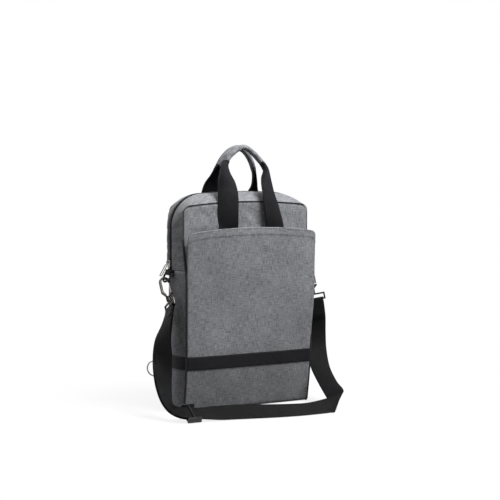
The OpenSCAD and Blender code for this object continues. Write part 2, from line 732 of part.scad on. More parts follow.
// Frame round the strap, with its end bars below the webbing and the middle bar above it
module strap_slider() {
  row = spline(strap_route, slider_row, 0.5);
  next = spline(strap_route, slider_row, 0.6);
  h = unit(across(row));
  t = unit(place(next) - place(row));
  n = unit(cross(h, t));
  u = cross(h, n);
  long = 26;
  wide = strap_w / 2 + 2.2;
  bar = 3;
  plate = 1.8;
  under = -strap_t / 2 - 1.3;
  over = return_gap + strap_t / 2 + 1;
  at = place(row);
  color(trim)
    multmatrix([[u[0], h[0], n[0], at[0]], [u[1], h[1], n[1], at[1]], [u[2], h[2], n[2], at[2]]]) {
      for (s = [-1, 1]) {
        translate([-long / 2, s > 0 ? wide : -wide - bar, under - plate])
          cube([long, bar, over - under + 2 * plate]);
        translate([s > 0 ? long / 2 - bar : -long / 2, -wide - eps, under - plate])
          cube([bar, 2 * wide + 2 * eps, plate]);
      }
      translate([-bar / 2, -wide - eps, over]) cube([bar, 2 * wide + 2 * eps, plate]);
    }
}

base_panel();
base_board();
left_side_gusset();
right_side_gusset();
front_panel();
front_top_panel();
back_panel();
back_foam();
rear_zip_gusset();
front_zip_gusset_left();
front_zip_gusset_right();
front_zip_gusset_top();
rear_zip_tape();
front_zip_tape_left();
front_zip_tape_right();
front_zip_tape_top();
lining();
laptop_divider();
organiser_pocket();
front_pocket_panel();
front_pocket_gusset_left();
front_pocket_gusset_right();
back_pocket_panel();
back_pocket_gusset_left();
back_pocket_gusset_right();
bottom_band();
piping_left();
piping_right();
front_handle_left_leg();
front_handle_right_leg();
front_handle_grip();
rear_handle_left_leg();
rear_handle_right_leg();
rear_handle_grip();
handle_anchors();
left_side_tab();
right_side_tab();
left_d_ring();
right_d_ring();
left_hook();
right_hook();
left_hook_gate();
right_hook_gate();
left_swivel_eye();
right_swivel_eye();
lower_left_tab();
lower_right_tab();
lower_left_ring();
lower_right_ring();
zip_slider();
zip_pull();
zip_bottom_stop();
zip_top_stop();
shoulder_strap();
strap_return();
strap_slider();
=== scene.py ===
# Tall grey laptop bag with an arched zip, two slip pockets, carry handles and a shoulder
# strap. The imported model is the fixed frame, and the soft and fine pieces are made round it.
import bpy, bmesh
import numpy as np
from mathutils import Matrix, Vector
from math import pi, radians


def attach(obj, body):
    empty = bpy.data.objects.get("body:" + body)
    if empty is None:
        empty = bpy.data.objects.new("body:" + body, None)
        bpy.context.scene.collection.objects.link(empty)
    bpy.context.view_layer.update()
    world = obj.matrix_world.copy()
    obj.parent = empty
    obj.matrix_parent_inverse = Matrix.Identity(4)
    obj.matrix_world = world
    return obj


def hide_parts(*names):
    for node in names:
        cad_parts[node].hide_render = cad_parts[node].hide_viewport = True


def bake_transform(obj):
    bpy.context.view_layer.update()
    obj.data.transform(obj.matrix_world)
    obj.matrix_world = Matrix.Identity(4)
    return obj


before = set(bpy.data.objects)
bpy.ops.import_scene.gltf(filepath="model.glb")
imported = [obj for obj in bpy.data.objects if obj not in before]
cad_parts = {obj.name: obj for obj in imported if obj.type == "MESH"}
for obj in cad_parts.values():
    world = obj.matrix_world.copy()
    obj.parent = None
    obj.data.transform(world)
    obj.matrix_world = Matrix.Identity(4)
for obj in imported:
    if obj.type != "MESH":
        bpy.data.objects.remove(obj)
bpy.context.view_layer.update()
mm = 0.001
print("frame loaded:", len(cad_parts), "nodes")

# camera, light and floor

camera = {"place": (-1.1420, -2.2512, 0.4819), "tilt": 85.91, "turn": -27.48, "lens": 93.2}
lights = {  # place, size in metres, watts
    "key": ((0.45, -0.72, 1.4), 0.8, 29),
    "fill": ((-3.0, -1.2, 1.2), 1.2, 5),
    "back": ((-0.9, 2.6, 2.6), 1.4, 40),
}
room = {"sky": 0.7, "ground": 0.03, "white": 1.0, "floor": "#f4f4f4", "floorGlow": 0.8}


def linear(hexCode):
    # sRGB hex to linear red, green, blue and 1.
    rgb = np.array([int(hexCode[i:i + 2], 16) / 255 for i in (1, 3, 5)])
    rgb = np.where(rgb <= 0.04045, rgb / 12.92, ((rgb + 0.055) / 1.055) ** 2.4)
    return (*[float(c) for c in rgb], 1.0)


def addNode(tree, kind, settings=None, links=None):
    # one node: settings are its own properties or unlinked sockets, links are sockets
    node = tree.nodes.new(kind)
    for key, value in (settings or {}).items():
        if isinstance(key, str) and hasattr(node, key):
            setattr(node, key, value)
        else:
            node.inputs[key].default_value = value
    for key, source in (links or {}).items():
        tree.links.new(source, node.inputs[key])
    return node


def newMaterial(name):
    mat = bpy.data.materials.new(name)
    mat.use_nodes = True
    tree = mat.node_tree
    tree.nodes.clear()
    return mat, tree


scene = bpy.context.scene
camData = bpy.data.cameras.new("camera")
camData.sensor_width = 36
camData.lens = camera["lens"]
camObj = bpy.data.objects.new("camera", camData)
camObj.location = camera["place"]
camObj.rotation_euler = (radians(camera["tilt"]), 0, radians(camera["turn"]))
scene.collection.objects.link(camObj)
scene.camera = camObj
scene.view_settings.view_transform = "Standard"

for name, (place, size, watts) in lights.items():
    data = bpy.data.lights.new(name, "AREA")
    data.size = size
    data.energy = watts
    lamp = bpy.data.objects.new(name, data)
    lamp.location = place
    aim = np.array([0, 0, 0.25]) - np.array(place)
    lamp.rotation_mode = "QUATERNION"
    lamp.rotation_quaternion = Vector(aim).to_track_quat("-Z", "Y")
    scene.collection.objects.link(lamp)

# the room is brighter overhead than low down
world = bpy.data.worlds.new("softRoom")
world.use_nodes = True
sky = world.node_tree
sky.nodes.clear()
skyWay = addNode(sky, "ShaderNodeSeparateXYZ", {},
                 {0: addNode(sky, "ShaderNodeTexCoord").outputs["Generated"]})
skyLevel = addNode(sky, "ShaderNodeMapRange", {1: -0.1, 2: 0.9, 3: room["ground"], 4: room["sky"]},
                   {0: skyWay.outputs[2]})
skyLight = addNode(sky, "ShaderNodeBackground", {0: (1, 1, 1, 1)}, {1: skyLevel.outputs[0]})
addNode(sky, "ShaderNodeOutputWorld", {}, {0: skyLight.outputs[0]})
scene.world = world


def smoothStep(x):
    x = np.clip(x, 0, 1)
    return x * x * (3 - 2 * x)


def softNoise(p, q, cellP, cellQ, seed):
    # random heights from -1 to 1 on a lattice of cellP by cellQ, joined by smooth steps
    table = np.random.default_rng(seed).uniform(-1, 1, (64, 64))
    a, b = np.asarray(p) / cellP, np.asarray(q) / cellQ
    ia, ib = np.floor(a).astype(int), np.floor(b).astype(int)
    fa, fb = smoothStep(a - ia), smoothStep(b - ib)
    low = table[ia % 64, ib % 64] * (1 - fa) + table[(ia + 1) % 64, ib % 64] * fa
    high = table[ia % 64, (ib + 1) % 64] * (1 - fa) + table[(ia + 1) % 64, (ib + 1) % 64] * fa
    return low * (1 - fb) + high * fb


def unit(v):
    return v / np.maximum(np.linalg.norm(v, axis=-1, keepdims=True), 1e-9)


def finishMesh(name, verts, faces, uv, material, flat=()):
    # verts in millimetres; uv in metres, one row for each face corner
    mesh = bpy.data.meshes.new(name)
    mesh.from_pydata((np.asarray(verts) * mm).tolist(), [], faces)
    smooth = np.ones(len(mesh.polygons), bool)
    smooth[list(flat)] = False
    mesh.polygons.foreach_set("use_smooth", smooth)
    layer = mesh.uv_layers.new(name="cloth")
    layer.data.foreach_set("uv", np.asarray(uv, np.float32).ravel())
    mesh.materials.append(material)
    obj = bpy.data.objects.new(name, mesh)
    scene.collection.objects.link(obj)
    return obj


def gridMesh(name, pts, material, closeU=False, closeV=False, caps=False, inside=None, uv=None):
    # A surface through a grid of points, nu by nv. uv is distance along each direction unless given.
    # Faces turn outwards: away from inside on an open sheet, or by signed volume on a closed one.
    pts = np.asarray(pts, float)
    nu, nv = pts.shape[:2]
    ids = np.arange(nu * nv).reshape(nu, nv)
    wide = pts
    if closeU:
        ids, wide = np.vstack([ids, ids[:1]]), np.concatenate([wide, wide[:1]], 0)
    if closeV:
        ids, wide = np.hstack([ids, ids[:, :1]]), np.concatenate([wide, wide[:, :1]], 1)
    if uv is None:
        du = np.linalg.norm(np.diff(wide, axis=0), axis=2).mean(1)
        dv = np.linalg.norm(np.diff(wide, axis=1), axis=2).mean(0)
        u, v = np.concatenate([[0], np.cumsum(du)]), np.concatenate([[0], np.cumsum(dv)])
        uv = np.stack(np.meshgrid(u, v, indexing="ij"), -1) * mm
    quad = np.stack([ids[:-1, :-1], ids[1:, :-1], ids[1:, 1:], ids[:-1, 1:]], -1).reshape(-1, 4)
    quv = np.stack([uv[:-1, :-1], uv[1:, :-1], uv[1:, 1:], uv[:-1, 1:]], 2).reshape(-1, 4, 2)
    flatPts = pts.reshape(-1, 3)
    a, b, c, d = (flatPts[quad[:, k]] for k in range(4))
    normal = np.cross(c - a, d - b)
    middle = (a + b + c + d) / 4
    centre = np.zeros(3) if inside is None else np.asarray(inside, float)
    if (normal * (middle - centre)).sum() < 0:
        quad, quv = quad[:, ::-1], quv[:, ::-1]
        turned = True
    else:
        turned = False
    faces = quad.tolist()
    corners = [quv.reshape(-1, 2)]
    flat = []
    if caps:
        for row, last in ((ids[0, :nv], False), (ids[-1, :nv], True)):
            ring = row if (last != turned) else row[::-1]
            ring = ring[::-1] if not closeV else ring
            flat.append(len(faces))
            faces.append([int(i) for i in ring])
            corners.append(np.stack([np.arange(nv) * 0.001, np.full(nv, 0.5)], 1))
    obj = finishMesh(name, flatPts, faces, np.concatenate(corners), material, flat)
    if caps:  # the end caps follow the tube's own side faces
        bm = bmesh.new()
        bm.from_mesh(obj.data)
        bmesh.ops.recalc_face_normals(bm, faces=bm.faces)
        if bm.calc_volume(signed=True) < 0:
            bmesh.ops.reverse_faces(bm, faces=bm.faces)
        bm.to_mesh(obj.data)
        bm.free()
    return obj


def thicken(obj, thickness, out=-1.0):
    mod = obj.modifiers.new("cloth thickness", "SOLIDIFY")
    mod.thickness = thickness * mm
    mod.offset = out
    mod.use_even_offset = True
    return obj


def splineRows(rows, per):
    # Catmull-Rom through the rows, which may hold any number of columns
    rows = np.asarray(rows, float)
    n = len(rows) - 1
    k = np.minimum(np.arange(n * per + 1) // per, n - 1)
    t = (np.arange(n * per + 1) / per - k)[:, None]
    a, b, c, d = rows[np.maximum(k - 1, 0)], rows[k], rows[k + 1], rows[np.minimum(k + 2, n)]
    return 0.5 * (2 * b + (c - a) * t + (2 * a - 5 * b + 4 * c - d) * t ** 2
                  + (3 * b - a - 3 * c + d) * t ** 3)


def along(points):
    # distance along a line of points
    step = np.linalg.norm(np.diff(points, axis=0), axis=1)
    return np.concatenate([[0], np.cumsum(step)])


def resample(points, spacing):
    far = along(points)
    count = max(2, int(round(far[-1] / spacing)) + 1)
    at = np.linspace(0, far[-1], count)
    return np.stack([np.interp(at, far, points[:, k]) for k in range(points.shape[1])], 1)


def ribbonMesh(name, rows, thickness, material, per=6):
    # Flat webbing: a rounded flat section carried along rows of place and half-width vector.
    fine = splineRows(rows, per) if per > 1 else np.asarray(rows, float)
    place, half = fine[:, :3], fine[:, 3:6]
    heading = unit(np.gradient(place, axis=0))
    normal = unit(np.cross(heading, half))
    edge = np.array([-1, -0.985, -0.95, -0.6, -0.2, 0.2, 0.6, 0.95, 0.985])
    q = np.concatenate([edge, -edge])
    w = np.array([0, 0.34, 0.5, 0.5, 0.5, 0.5, 0.5, 0.5, 0.34])
    w = np.concatenate([w, -w])
    pts = place[:, None] + half[:, None] * q[:, None] + normal[:, None] * (w * thickness)[:, None]
    far = along(place)
    acrossMm = np.concatenate([q, q[:1]])[None] * np.linalg.norm(half, axis=1)[:, None]
    uv = np.stack([acrossMm, np.broadcast_to(far[:, None], acrossMm.shape)], -1) * mm
    return gridMesh(name, pts, material, closeV=True, caps=True, uv=uv), place


def tubeMesh(name, path, radius, material, sides=12, caps=True, up=(0.0, 1.0, 0.0)):
    # A round section of the given radius, or one radius for each point, carried along a path.
    path = np.asarray(path, float)
    heading = unit(np.gradient(path, axis=0))
    sideways = unit(np.cross(heading, np.broadcast_to(np.asarray(up, float), heading.shape)))
    other = np.cross(heading, sideways)
    a = np.linspace(0, 2 * pi, sides, endpoint=False)
    r = np.broadcast_to(np.asarray(radius, float), len(path))[:, None, None]
    pts = path[:, None] + r * (sideways[:, None] * np.cos(a)[:, None] + other[:, None] * np.sin(a)[:, None])
    return gridMesh(name, pts, material, closeV=True, caps=caps)


# materials

def clothMaterial(name, light, dark, warpMm, contrast, rough, bump, sheen=0.15, streak=16.0, blotch=0.06):
    # Woven cloth on its own map. Two crossed sets of streaks are the slubs of warp and weft,
    # a fine wave product is the weave, and a slow noise is dye variation.
    mat, tree = newMaterial(name)
    uv = addNode(tree, "ShaderNodeUVMap", {"uv_map": "cloth"}).outputs[0]
    streaks = []
    for lengthMm, thickMm in ((streak, warpMm), (warpMm, streak)):
        mapped = addNode(tree, "ShaderNodeMapping", {3: (1000 / lengthMm, 1000 / thickMm, 1)}, {0: uv})
        streaks.append(addNode(tree, "ShaderNodeTexNoise", {"Scale": 1.0, "Detail": 3.0, "Roughness": 0.65},
                               {"Vector": mapped.outputs[0]}).outputs[0])
    both = addNode(tree, "ShaderNodeMath", {"operation": "ADD"}, {0: streaks[0], 1: streaks[1]})
    slow = addNode(tree, "ShaderNodeTexNoise", {"Scale": 22.0, "Detail": 2.0}, {"Vector": uv})
    slowPart = addNode(tree, "ShaderNodeMath", {"operation": "MULTIPLY_ADD", 1: blotch * 4, 2: -blotch * 2},
                       {0: slow.outputs[0]})
    total = addNode(tree, "ShaderNodeMath", {"operation": "ADD"},
                    {0: both.outputs[0], 1: slowPart.outputs[0]})
    ramp = addNode(tree, "ShaderNodeMapRange",
                   {1: 1.0 - contrast, 2: 1.0 + contrast, 3: 0.0, 4: 1.0}, {0: total.outputs[0]})
    colour = addNode(tree, "ShaderNodeMix", {"data_type": "RGBA", 6: linear(dark), 7: linear(light)},
                     {0: ramp.outputs[0]})
    pitch = 2 * pi * 1000 / 1.1  # threads are about 0.55 mm; drawn at 1.1 mm so that they show
    waves = []
    for axis in (0, 1):
        part = addNode(tree, "ShaderNodeSeparateXYZ", {}, {0: uv}).outputs[axis]
        scaled = addNode(tree, "ShaderNodeMath", {"operation": "MULTIPLY", 1: pitch}, {0: part})
        wave = addNode(tree, "ShaderNodeMath", {"operation": "SINE"}, {0: scaled.outputs[0]})
        waves.append(wave.outputs[0])
    weave = addNode(tree, "ShaderNodeMath", {"operation": "MULTIPLY"}, {0: waves[0], 1: waves[1]})
    height = addNode(tree, "ShaderNodeMath", {"operation": "MULTIPLY_ADD", 1: 0.35},
                     {0: weave.outputs[0], 2: both.outputs[0]})
    bumpNode = addNode(tree, "ShaderNodeBump", {"Strength": bump, "Distance": 0.0004},
                       {"Height": height.outputs[0]})
    shader = addNode(tree, "ShaderNodeBsdfPrincipled", {"Roughness": rough, "Sheen Weight": sheen,
                                                        "Sheen Roughness": 0.4, "Specular IOR Level": 0.3},
                     {"Base Color": colour.outputs[2], "Normal": bumpNode.outputs[0]})
    addNode(tree, "ShaderNodeOutputMaterial", {}, {0: shader.outputs[0]})
    return mat


def webbingMaterial(name, light, dark, ribMm, rough, bump, shine=0.12):
    # Woven tape on its own map: u runs across and v along. Ribs run along, crossed by the picks,
    # so the face shows a fine chevron.
    mat, tree = newMaterial(name)
    uv = addNode(tree, "ShaderNodeUVMap", {"uv_map": "cloth"}).outputs[0]
    split = addNode(tree, "ShaderNodeSeparateXYZ", {}, {0: uv})
    bend = addNode(tree, "ShaderNodeMath", {"operation": "PINGPONG", 1: ribMm * 2 * mm},
                   {0: split.outputs[0]})
    lean = addNode(tree, "ShaderNodeMath", {"operation": "ADD"}, {0: bend.outputs[0], 1: split.outputs[1]})
    picks = addNode(tree, "ShaderNodeMath", {"operation": "MULTIPLY", 1: 2 * pi * 1000 / (ribMm * 0.8)},
                    {0: lean.outputs[0]})
    pickWave = addNode(tree, "ShaderNodeMath", {"operation": "SINE"}, {0: picks.outputs[0]})
    ribs = addNode(tree, "ShaderNodeMath", {"operation": "MULTIPLY", 1: 2 * pi * 1000 / ribMm},
                   {0: split.outputs[0]})
    ribWave = addNode(tree, "ShaderNodeMath", {"operation": "SINE"}, {0: ribs.outputs[0]})
    height = addNode(tree, "ShaderNodeMath", {"operation": "MULTIPLY_ADD", 1: 0.6},
                     {0: pickWave.outputs[0], 2: ribWave.outputs[0]})
    slow = addNode(tree, "ShaderNodeTexNoise", {"Scale": 60.0, "Detail": 3.0}, {"Vector": uv})
    mixIn = addNode(tree, "ShaderNodeMath", {"operation": "MULTIPLY_ADD", 1: 0.12}, {0: height.outputs[0],
                                                                                    2: slow.outputs[0]})
    colour = addNode(tree, "ShaderNodeMix", {"data_type": "RGBA", 6: linear(dark), 7: linear(light)},
                     {0: mixIn.outputs[0]})
    bumpNode = addNode(tree, "ShaderNodeBump", {"Strength": bump, "Distance": 0.0003},
                       {"Height": height.outputs[0]})
    shader = addNode(tree, "ShaderNodeBsdfPrincipled", {"Roughness": rough, "Specular IOR Level": shine},
                     {"Base Color": colour.outputs[2], "Normal": bumpNode.outputs[0]})
    addNode(tree, "ShaderNodeOutputMaterial", {}, {0: shader.outputs[0]})
    return mat


def metalMaterial(name, base, worn, rough):
    # Plated zinc die-casting: slow tarnish, and small scratches that lift the roughness.
    mat, tree = newMaterial(name)
    place = addNode(tree, "ShaderNodeTexCoord").outputs["Object"]
    slow = addNode(tree, "ShaderNodeTexNoise", {"Scale": 180.0, "Detail": 4.0}, {"Vector": place})
    fine = addNode(tree, "ShaderNodeTexNoise", {"Scale": 1600.0, "Detail": 2.0}, {"Vector": place})
    colour = addNode(tree, "ShaderNodeMix", {"data_type": "RGBA", 6: linear(base), 7: linear(worn)},
                     {0: slow.outputs[0]})
    roughness = addNode(tree, "ShaderNodeMapRange", {1: 0.3, 2: 0.7, 3: rough - 0.06, 4: rough + 0.1},
                        {0: fine.outputs[0]})
    bumpNode = addNode(tree, "ShaderNodeBump", {"Strength": 0.04, "Distance": 0.0002},
                       {"Height": fine.outputs[0]})
    shader = addNode(tree, "ShaderNodeBsdfPrincipled", {"Metallic": 1.0},
                     {"Base Color": colour.outputs[2], "Roughness": roughness.outputs[0],
                      "Normal": bumpNode.outputs[0]})
    addNode(tree, "ShaderNodeOutputMaterial", {}, {0: shader.outputs[0]})
    return mat


def plasticMaterial(name, base, rough, grainMm, bump):
    # Moulded plastic or thread: one colour with a fine spark-eroded grain.
    mat, tree = newMaterial(name)
    place = addNode(tree, "ShaderNodeTexCoord").outputs["Object"]
    grain = addNode(tree, "ShaderNodeTexNoise", {"Scale": 1000 / grainMm, "Detail": 2.0}, {"Vector": place})
    tone = addNode(tree, "ShaderNodeMapRange", {1: 0.3, 2: 0.7, 3: 0.8, 4: 1.15}, {0: grain.outputs[0]})
    colour = addNode(tree, "ShaderNodeMix", {"data_type": "RGBA", "blend_type": "MULTIPLY", 0: 1.0,
                                             6: linear(base)}, {7: tone.outputs[0]})
    bumpNode = addNode(tree, "ShaderNodeBump", {"Strength": bump, "Distance": 0.0002},
                       {"Height": grain.outputs[0]})
    shader = addNode(tree, "ShaderNodeBsdfPrincipled", {"Roughness": rough},
                     {"Base Color": colour.outputs[2], "Normal": bumpNode.outputs[0]})
    addNode(tree, "ShaderNodeOutputMaterial", {}, {0: shader.outputs[0]})
    return mat


# 600D polyester woven from dark and pale yarns: matt, with slubs both ways. A slub is about
# 0.8 mm thick, and is drawn at 1.5 mm so that it shows
melange = clothMaterial("melangePolyester", "#a3a4a8", "#4c4d51", 1.2, 0.3, 0.85, 0.5, streak=13.0)
liningCloth = clothMaterial("polyesterTaffeta", "#5b5e64", "#43464c", 0.8, 0.3, 0.55, 0.2, sheen=0.05)
# polyester webbing with a chevron face; ribs are 0.9 mm, drawn at 1.6 mm
webbing = webbingMaterial("polyesterWebbing", "#262529", "#131216", 1.6, 0.62, 0.5)
strapWebbing = webbingMaterial("nylonWebbing", "#161618", "#09090a", 1.8, 0.5, 0.5)
tapeCloth = webbingMaterial("zipTapeTwill", "#1d1d20", "#121214", 0.9, 0.75, 0.3)
# extruded nylon coil, slightly glossy
coilNylon = plasticMaterial("nylonCoil", "#17171a", 0.38, 0.6, 0.1)
# dark twill for the side piping; the same cloth also draws the painted shadow cords along the panels' top
# seams
pipingAndSeamShadowCloth = clothMaterial("pipingTwillAndSeamShadow", "#202023", "#131315", 0.9, 0.3, 0.7, 0.3, sheen=0.05)
thread = plasticMaterial("polyesterThread", "#56575b", 0.6, 0.3, 0.3)
blackThread = plasticMaterial("blackThread", "#121214", 0.55, 0.3, 0.3)
# zinc die-casting with a black nickel plate
gunmetal = metalMaterial("blackNickelZinc", "#2c2a29", "#4e4b49", 0.34)
paleMetal = metalMaterial("antiqueNickelZinc", "#8f8985", "#b9b2ad", 0.28)
acetal = plasticMaterial("blackAcetal", "#17171a", 0.42, 0.4, 0.15)
board = plasticMaterial("polyethyleneBoard", "#202124", 0.6, 0.8, 0.2)
print("materials made")

# floor

floorMat, floorTree = newMaterial("paperFloor")
floorPlace = addNode(floorTree, "ShaderNodeTexCoord").outputs["Object"]
floorFar = addNode(floorTree, "ShaderNodeVectorMath", {"operation": "LENGTH"}, {0: floorPlace})
floorMix = addNode(floorTree, "ShaderNodeMapRange",
                   {1: 0.1, 2: 0.6, 3: room["floorGlow"], "interpolation_type": "SMOOTHSTEP"},
                   {0: floorFar.outputs["Value"]})
floorNear = addNode(floorTree, "ShaderNodeBsdfDiffuse", {0: linear(room["floor"])})
floorGlow = addNode(floorTree, "ShaderNodeEmission", {0: (1, 1, 1, 1), 1: room["white"]})
floorOut = addNode(floorTree, "ShaderNodeMixShader", {}, {0: floorMix.outputs[0], 1: floorNear.outputs[0],
                                                          2: floorGlow.outputs[0]})
addNode(floorTree, "ShaderNodeOutputMaterial", {}, {0: floorOut.outputs[0]})
ringR = np.array([0.01, 300, 700, 1500, 4000, 12000])[:, None]
ringA = np.linspace(0, 2 * pi, 64, endpoint=False)[None]
floorPts = np.stack([ringR * np.cos(ringA), ringR * np.sin(ringA), np.zeros((6, 64))], -1)
floorObj = gridMesh("paperFloor", floorPts, floorMat, closeV=True, inside=(0, 0, -1e5))
floorObj.visible_diffuse = False

domeMat, domeTree = newMaterial("paperBackdrop")
domeGlow = addNode(domeTree, "ShaderNodeEmission", {0: (1, 1, 1, 1), 1: room["white"]})
addNode(domeTree, "ShaderNodeOutputMaterial", {}, {0: domeGlow.outputs[0]})
domeA = np.linspace(-0.3, pi / 2 - 0.01, 16)[:, None]
domePts = 14000 * np.stack([np.cos(domeA) * np.cos(ringA), np.cos(domeA) * np.sin(ringA),
                            np.sin(domeA) * np.ones_like(ringA)], -1)
domeObj = gridMesh("paperBackdrop", domePts, domeMat, closeV=True, inside=(0, 0, 0))
for ray in ("diffuse", "glossy", "transmission", "volume_scatter", "shadow"):
    setattr(domeObj, "visible_" + ray, False)

# shoulder strap and its doubled end

strap = {"thick": 1.7, "gap": 3.4, "sliderRow": 16, "width": 0.038, "length": 0.80,
         "returnLength": 0.26}
# from the right hook down to the floor, along it to the left and up to the left hook
strapRoute = np.array([
    [169, -12, 192, 16, -9, 4], [172, -13, 162, 17, -9, 2], [172, -14, 130, 17, -9, 0],
    [168, -24, 98, 17, -9, 0], [158, -54, 67, 17, -9, 0], [147, -100, 45, 16, -10, 1],
    [138, -143, 30, 16, -4, 8], [131, -168, 18, 12, 8, 15], [106, -165, 12, 3, 16, 10],
    [75, -163, 9.5, 0, 17, 8], [40, -162, 10, 0, 16.5, 8.5], [0, -157, 11, 0, 16, 9.4],
    [-40, -149, 12, 0, 15.6, 10.2], [-78, -140, 12.5, 0, 15.6, 10.5], [-106, -134, 12.5, 0, 16, 10],
    [-130, -129, 13, 1, 17, 8], [-148, -126, 14, 2, 17, 7], [-166, -123, 14, 2, 17, 7],
    [-180, -115, 16, 5, 17, 6], [-187, -98, 22, 10, 15, 4], [-188, -80, 36, 15, 11, 2],
    [-187, -66, 58, 18, 6, 0], [-185, -58, 85, 19, 0, 0], [-183, -54, 112, 15, -11, 0],
    [-179, -50, 142, 8, -17, 2], [-168, -45, 171, 2, -18, 6], [-157, -35, 196, 0, -17, 9]])
eyes = {"left": ((-157, -33, 200), (0, 0.866, -0.5)),
        "right": ((168.6, -11.6, 196.3), (0.864, -0.466, 0.187))}

strapObj, strapLine = ribbonMesh("shoulderStrap", strapRoute, strap["thick"], strapWebbing)
returnFine = splineRows(strapRoute[strap["sliderRow"]:], 6)
returnHead = unit(np.gradient(returnFine[:, :3], axis=0))
returnLift = unit(np.cross(returnFine[:, 3:], returnHead)) * strap["gap"]
returnRows = np.hstack([returnFine[:, :3] + returnLift, 0.97 * returnFine[:, 3:]])[::-1]
returnObj, returnLine = ribbonMesh("strapReturn", returnRows, strap["thick"], strapWebbing, per=1)


def strapLoop(name, eye, legs, gap):
    # Webbing that passes round an eye's bar: down one side, half a turn round the bar, down the other.
    # legs are the points where its two ends meet the strap's layers.
    centre, axis = np.array(eyes[eye][0], float), unit(np.array(eyes[eye][1], float))
    down = unit((np.array(legs[0]) + np.array(legs[1])) / 2 - centre)
    down = unit(down - axis * (down @ axis))
    side = np.cross(axis, down)
    a = np.linspace(0, pi, 13)
    turn = centre + gap * (side * np.cos(a)[:, None] - down * np.sin(a)[:, None])
    first, last = np.array(legs[0], float), np.array(legs[1], float)
    if (first - centre) @ side < 0:
        first, last = last, first
    path = np.vstack([first, turn, last])
    rows = np.hstack([path, np.broadcast_to(axis * 18.3, path.shape)])
    obj, line = ribbonMesh(name, rows, strap["thick"], strapWebbing, per=3)
    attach(obj, "bag")
    return obj


strapLoop("leftStrapLoop", "left", (strapLine[-5], returnLine[4]), 3.0)
rightDown = strapLine[10] - strapLine[0]
rightSide = unit(np.cross(rightDown, strapRoute[0, 3:])) * 2.4
strapLoop("rightStrapLoop", "right",
          (strapLine[7] + rightSide, strapLine[7] - rightSide), 2.6)
for obj, node in ((strapObj, "shoulder_strap"), (returnObj, "strap_return")):
    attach(obj, "bag")
    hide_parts(node)
strap["length"] = round(float(along(strapLine)[-1]) * mm, 4)
strap["returnLength"] = round(float(along(returnLine)[-1]) * mm, 4)
print("strap", strap["length"], "m, doubled end", strap["returnLength"], "m")

# shapes that the shell pieces share, in millimetres

bag = {"halfW": 133.0, "rearW": 125.5, "wallY": 42.0, "rearY": 40.5, "top": 398.0,
       "rise": 6.4, "cornerR": 14.0, "sideX": 143.0, "crown": 416.0, "crownRise": 3.0,
       "zipR": 64.0, "seamZ": 268.0, "tapeHalf": 6.0, "footR": 7.0}
pocket = {"top": 349.0, "dip": 10.0, "front": 14.0, "back": 20.0, "open": 5.0,
          "belly": 5.5, "cornerR": 11.0, "gape": (4.0, 7.0)}


def pocketOff(z, gap):
    # distance from the panel to the pocket: a quarter sine, and a fourth power near the top
    return 3 + gap * np.sin(pi / 2 * np.clip(z / 120, 0, 1)) + pocket["open"] * (z / 343) ** 4


def seamY(z):
    # the front seam lies along the pocket's edge low down and at the panel near the top
    low = smoothStep((325.9 - z) / 85.75)
    return -bag["wallY"] - low * np.maximum(0, pocketOff(z, pocket["front"]) - 4)


def archPath(t, half, r, top, rise, foot):
    # Up one side, round a corner, along a slightly arched top and down the other side, as t goes
    # from 0 to 1. Returns x and z.
    s = 1 - np.abs(2 * t - 1)
    a, b = 0.42, 0.66
    shoulder = top - rise
    cornerZ = shoulder - r
    ang = np.clip((s - a) / (b - a), 0, 1) * pi / 2
    level = np.clip((s - b) / (1 - b), 0, 1)
    x = np.where(s < b, (half - r) + r * np.cos(ang), (half - r) * (1 - level))
    z = np.where(s < a, foot + (cornerZ - foot) * s / a,
                 np.where(s < b, cornerZ + r * np.sin(ang), shoulder + rise * (1 - (1 - level) ** 2)))
    return np.where(t < 0.5, -x, x), z


def footIn(z):
    # how far the walls tuck in where they meet the base: a quarter circle
    k = np.clip((bag["footR"] - z) / bag["footR"], 0, 1)
    return bag["footR"] * (1 - np.sqrt(1 - k * k))


def finish(obj, body, slotName, *nodes):
    if body:
        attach(obj, body)
    if nodes:
        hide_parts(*nodes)
    return obj


def overMouth(obj, slotName, *nodes):
    # cloth near the mouth: the imported nodes are hidden and the object's placement is baked into its mesh;
    # it is attached to no body
    if nodes:
        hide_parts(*nodes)
    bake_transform(obj)
    return obj


# top and upper sides: two strips from the panels' seams to the zip

strip = {"fold": 2.6, "fine": 0.8, "roll": 1.1}


def stripPoints(t, s, face, proud=0.0, seed=3):
    # The strip between a panel's seam (s 0) and the zip (s 1), face -1 at the front and 1 at the
    # rear. It rises in a convex curve, with soft folds that run across it, and rolls in at the zip.
    t, s = np.broadcast_arrays(t, s)
    wide = bag["halfW"] if face < 0 else bag["rearW"]
    x0, z0 = archPath(t, wide, bag["cornerR"], bag["top"], bag["rise"], bag["seamZ"])
    x1, z1 = archPath(t, bag["sideX"], bag["zipR"], bag["crown"], bag["crownRise"], bag["seamZ"])
    w = 1 - (1 - s) ** 1.9
    x, z = x0 + (x1 - x0) * w, z0 + (z1 - z0) * w
    y0 = seamY(z0) if face < 0 else np.full_like(z0, bag["rearY"])
    y = y0 + (face * bag["tapeHalf"] - y0) * s
    dx, dz = np.gradient(x, axis=0), np.gradient(z, axis=0)
    long = np.hypot(dx, dz) + 1e-9
    nx, nz = -dz / long, dx / long
    far = (t - 0.5) * 640
    side = smoothStep((0.86 - np.abs(2 * t - 1)) / -0.35)
    hold = np.sin(pi * np.clip(s, 0, 1)) ** 0.8
    folds = softNoise(far + 14 * s, s * 36, 17, 46, seed) * strip["fold"] * (0.25 + 0.75 * side)
    folds = folds + softNoise(far - 9 * s, s * 36, 8, 30, seed + 5) * strip["fine"]
    roll = -strip["roll"] * smoothStep((s - 0.93) / 0.07) - 0.9 * np.exp(-(s * 36 / 2.2) ** 2)
    out = folds * hold + roll + proud
    return np.stack([x + nx * out, y, z + nz * out], -1)


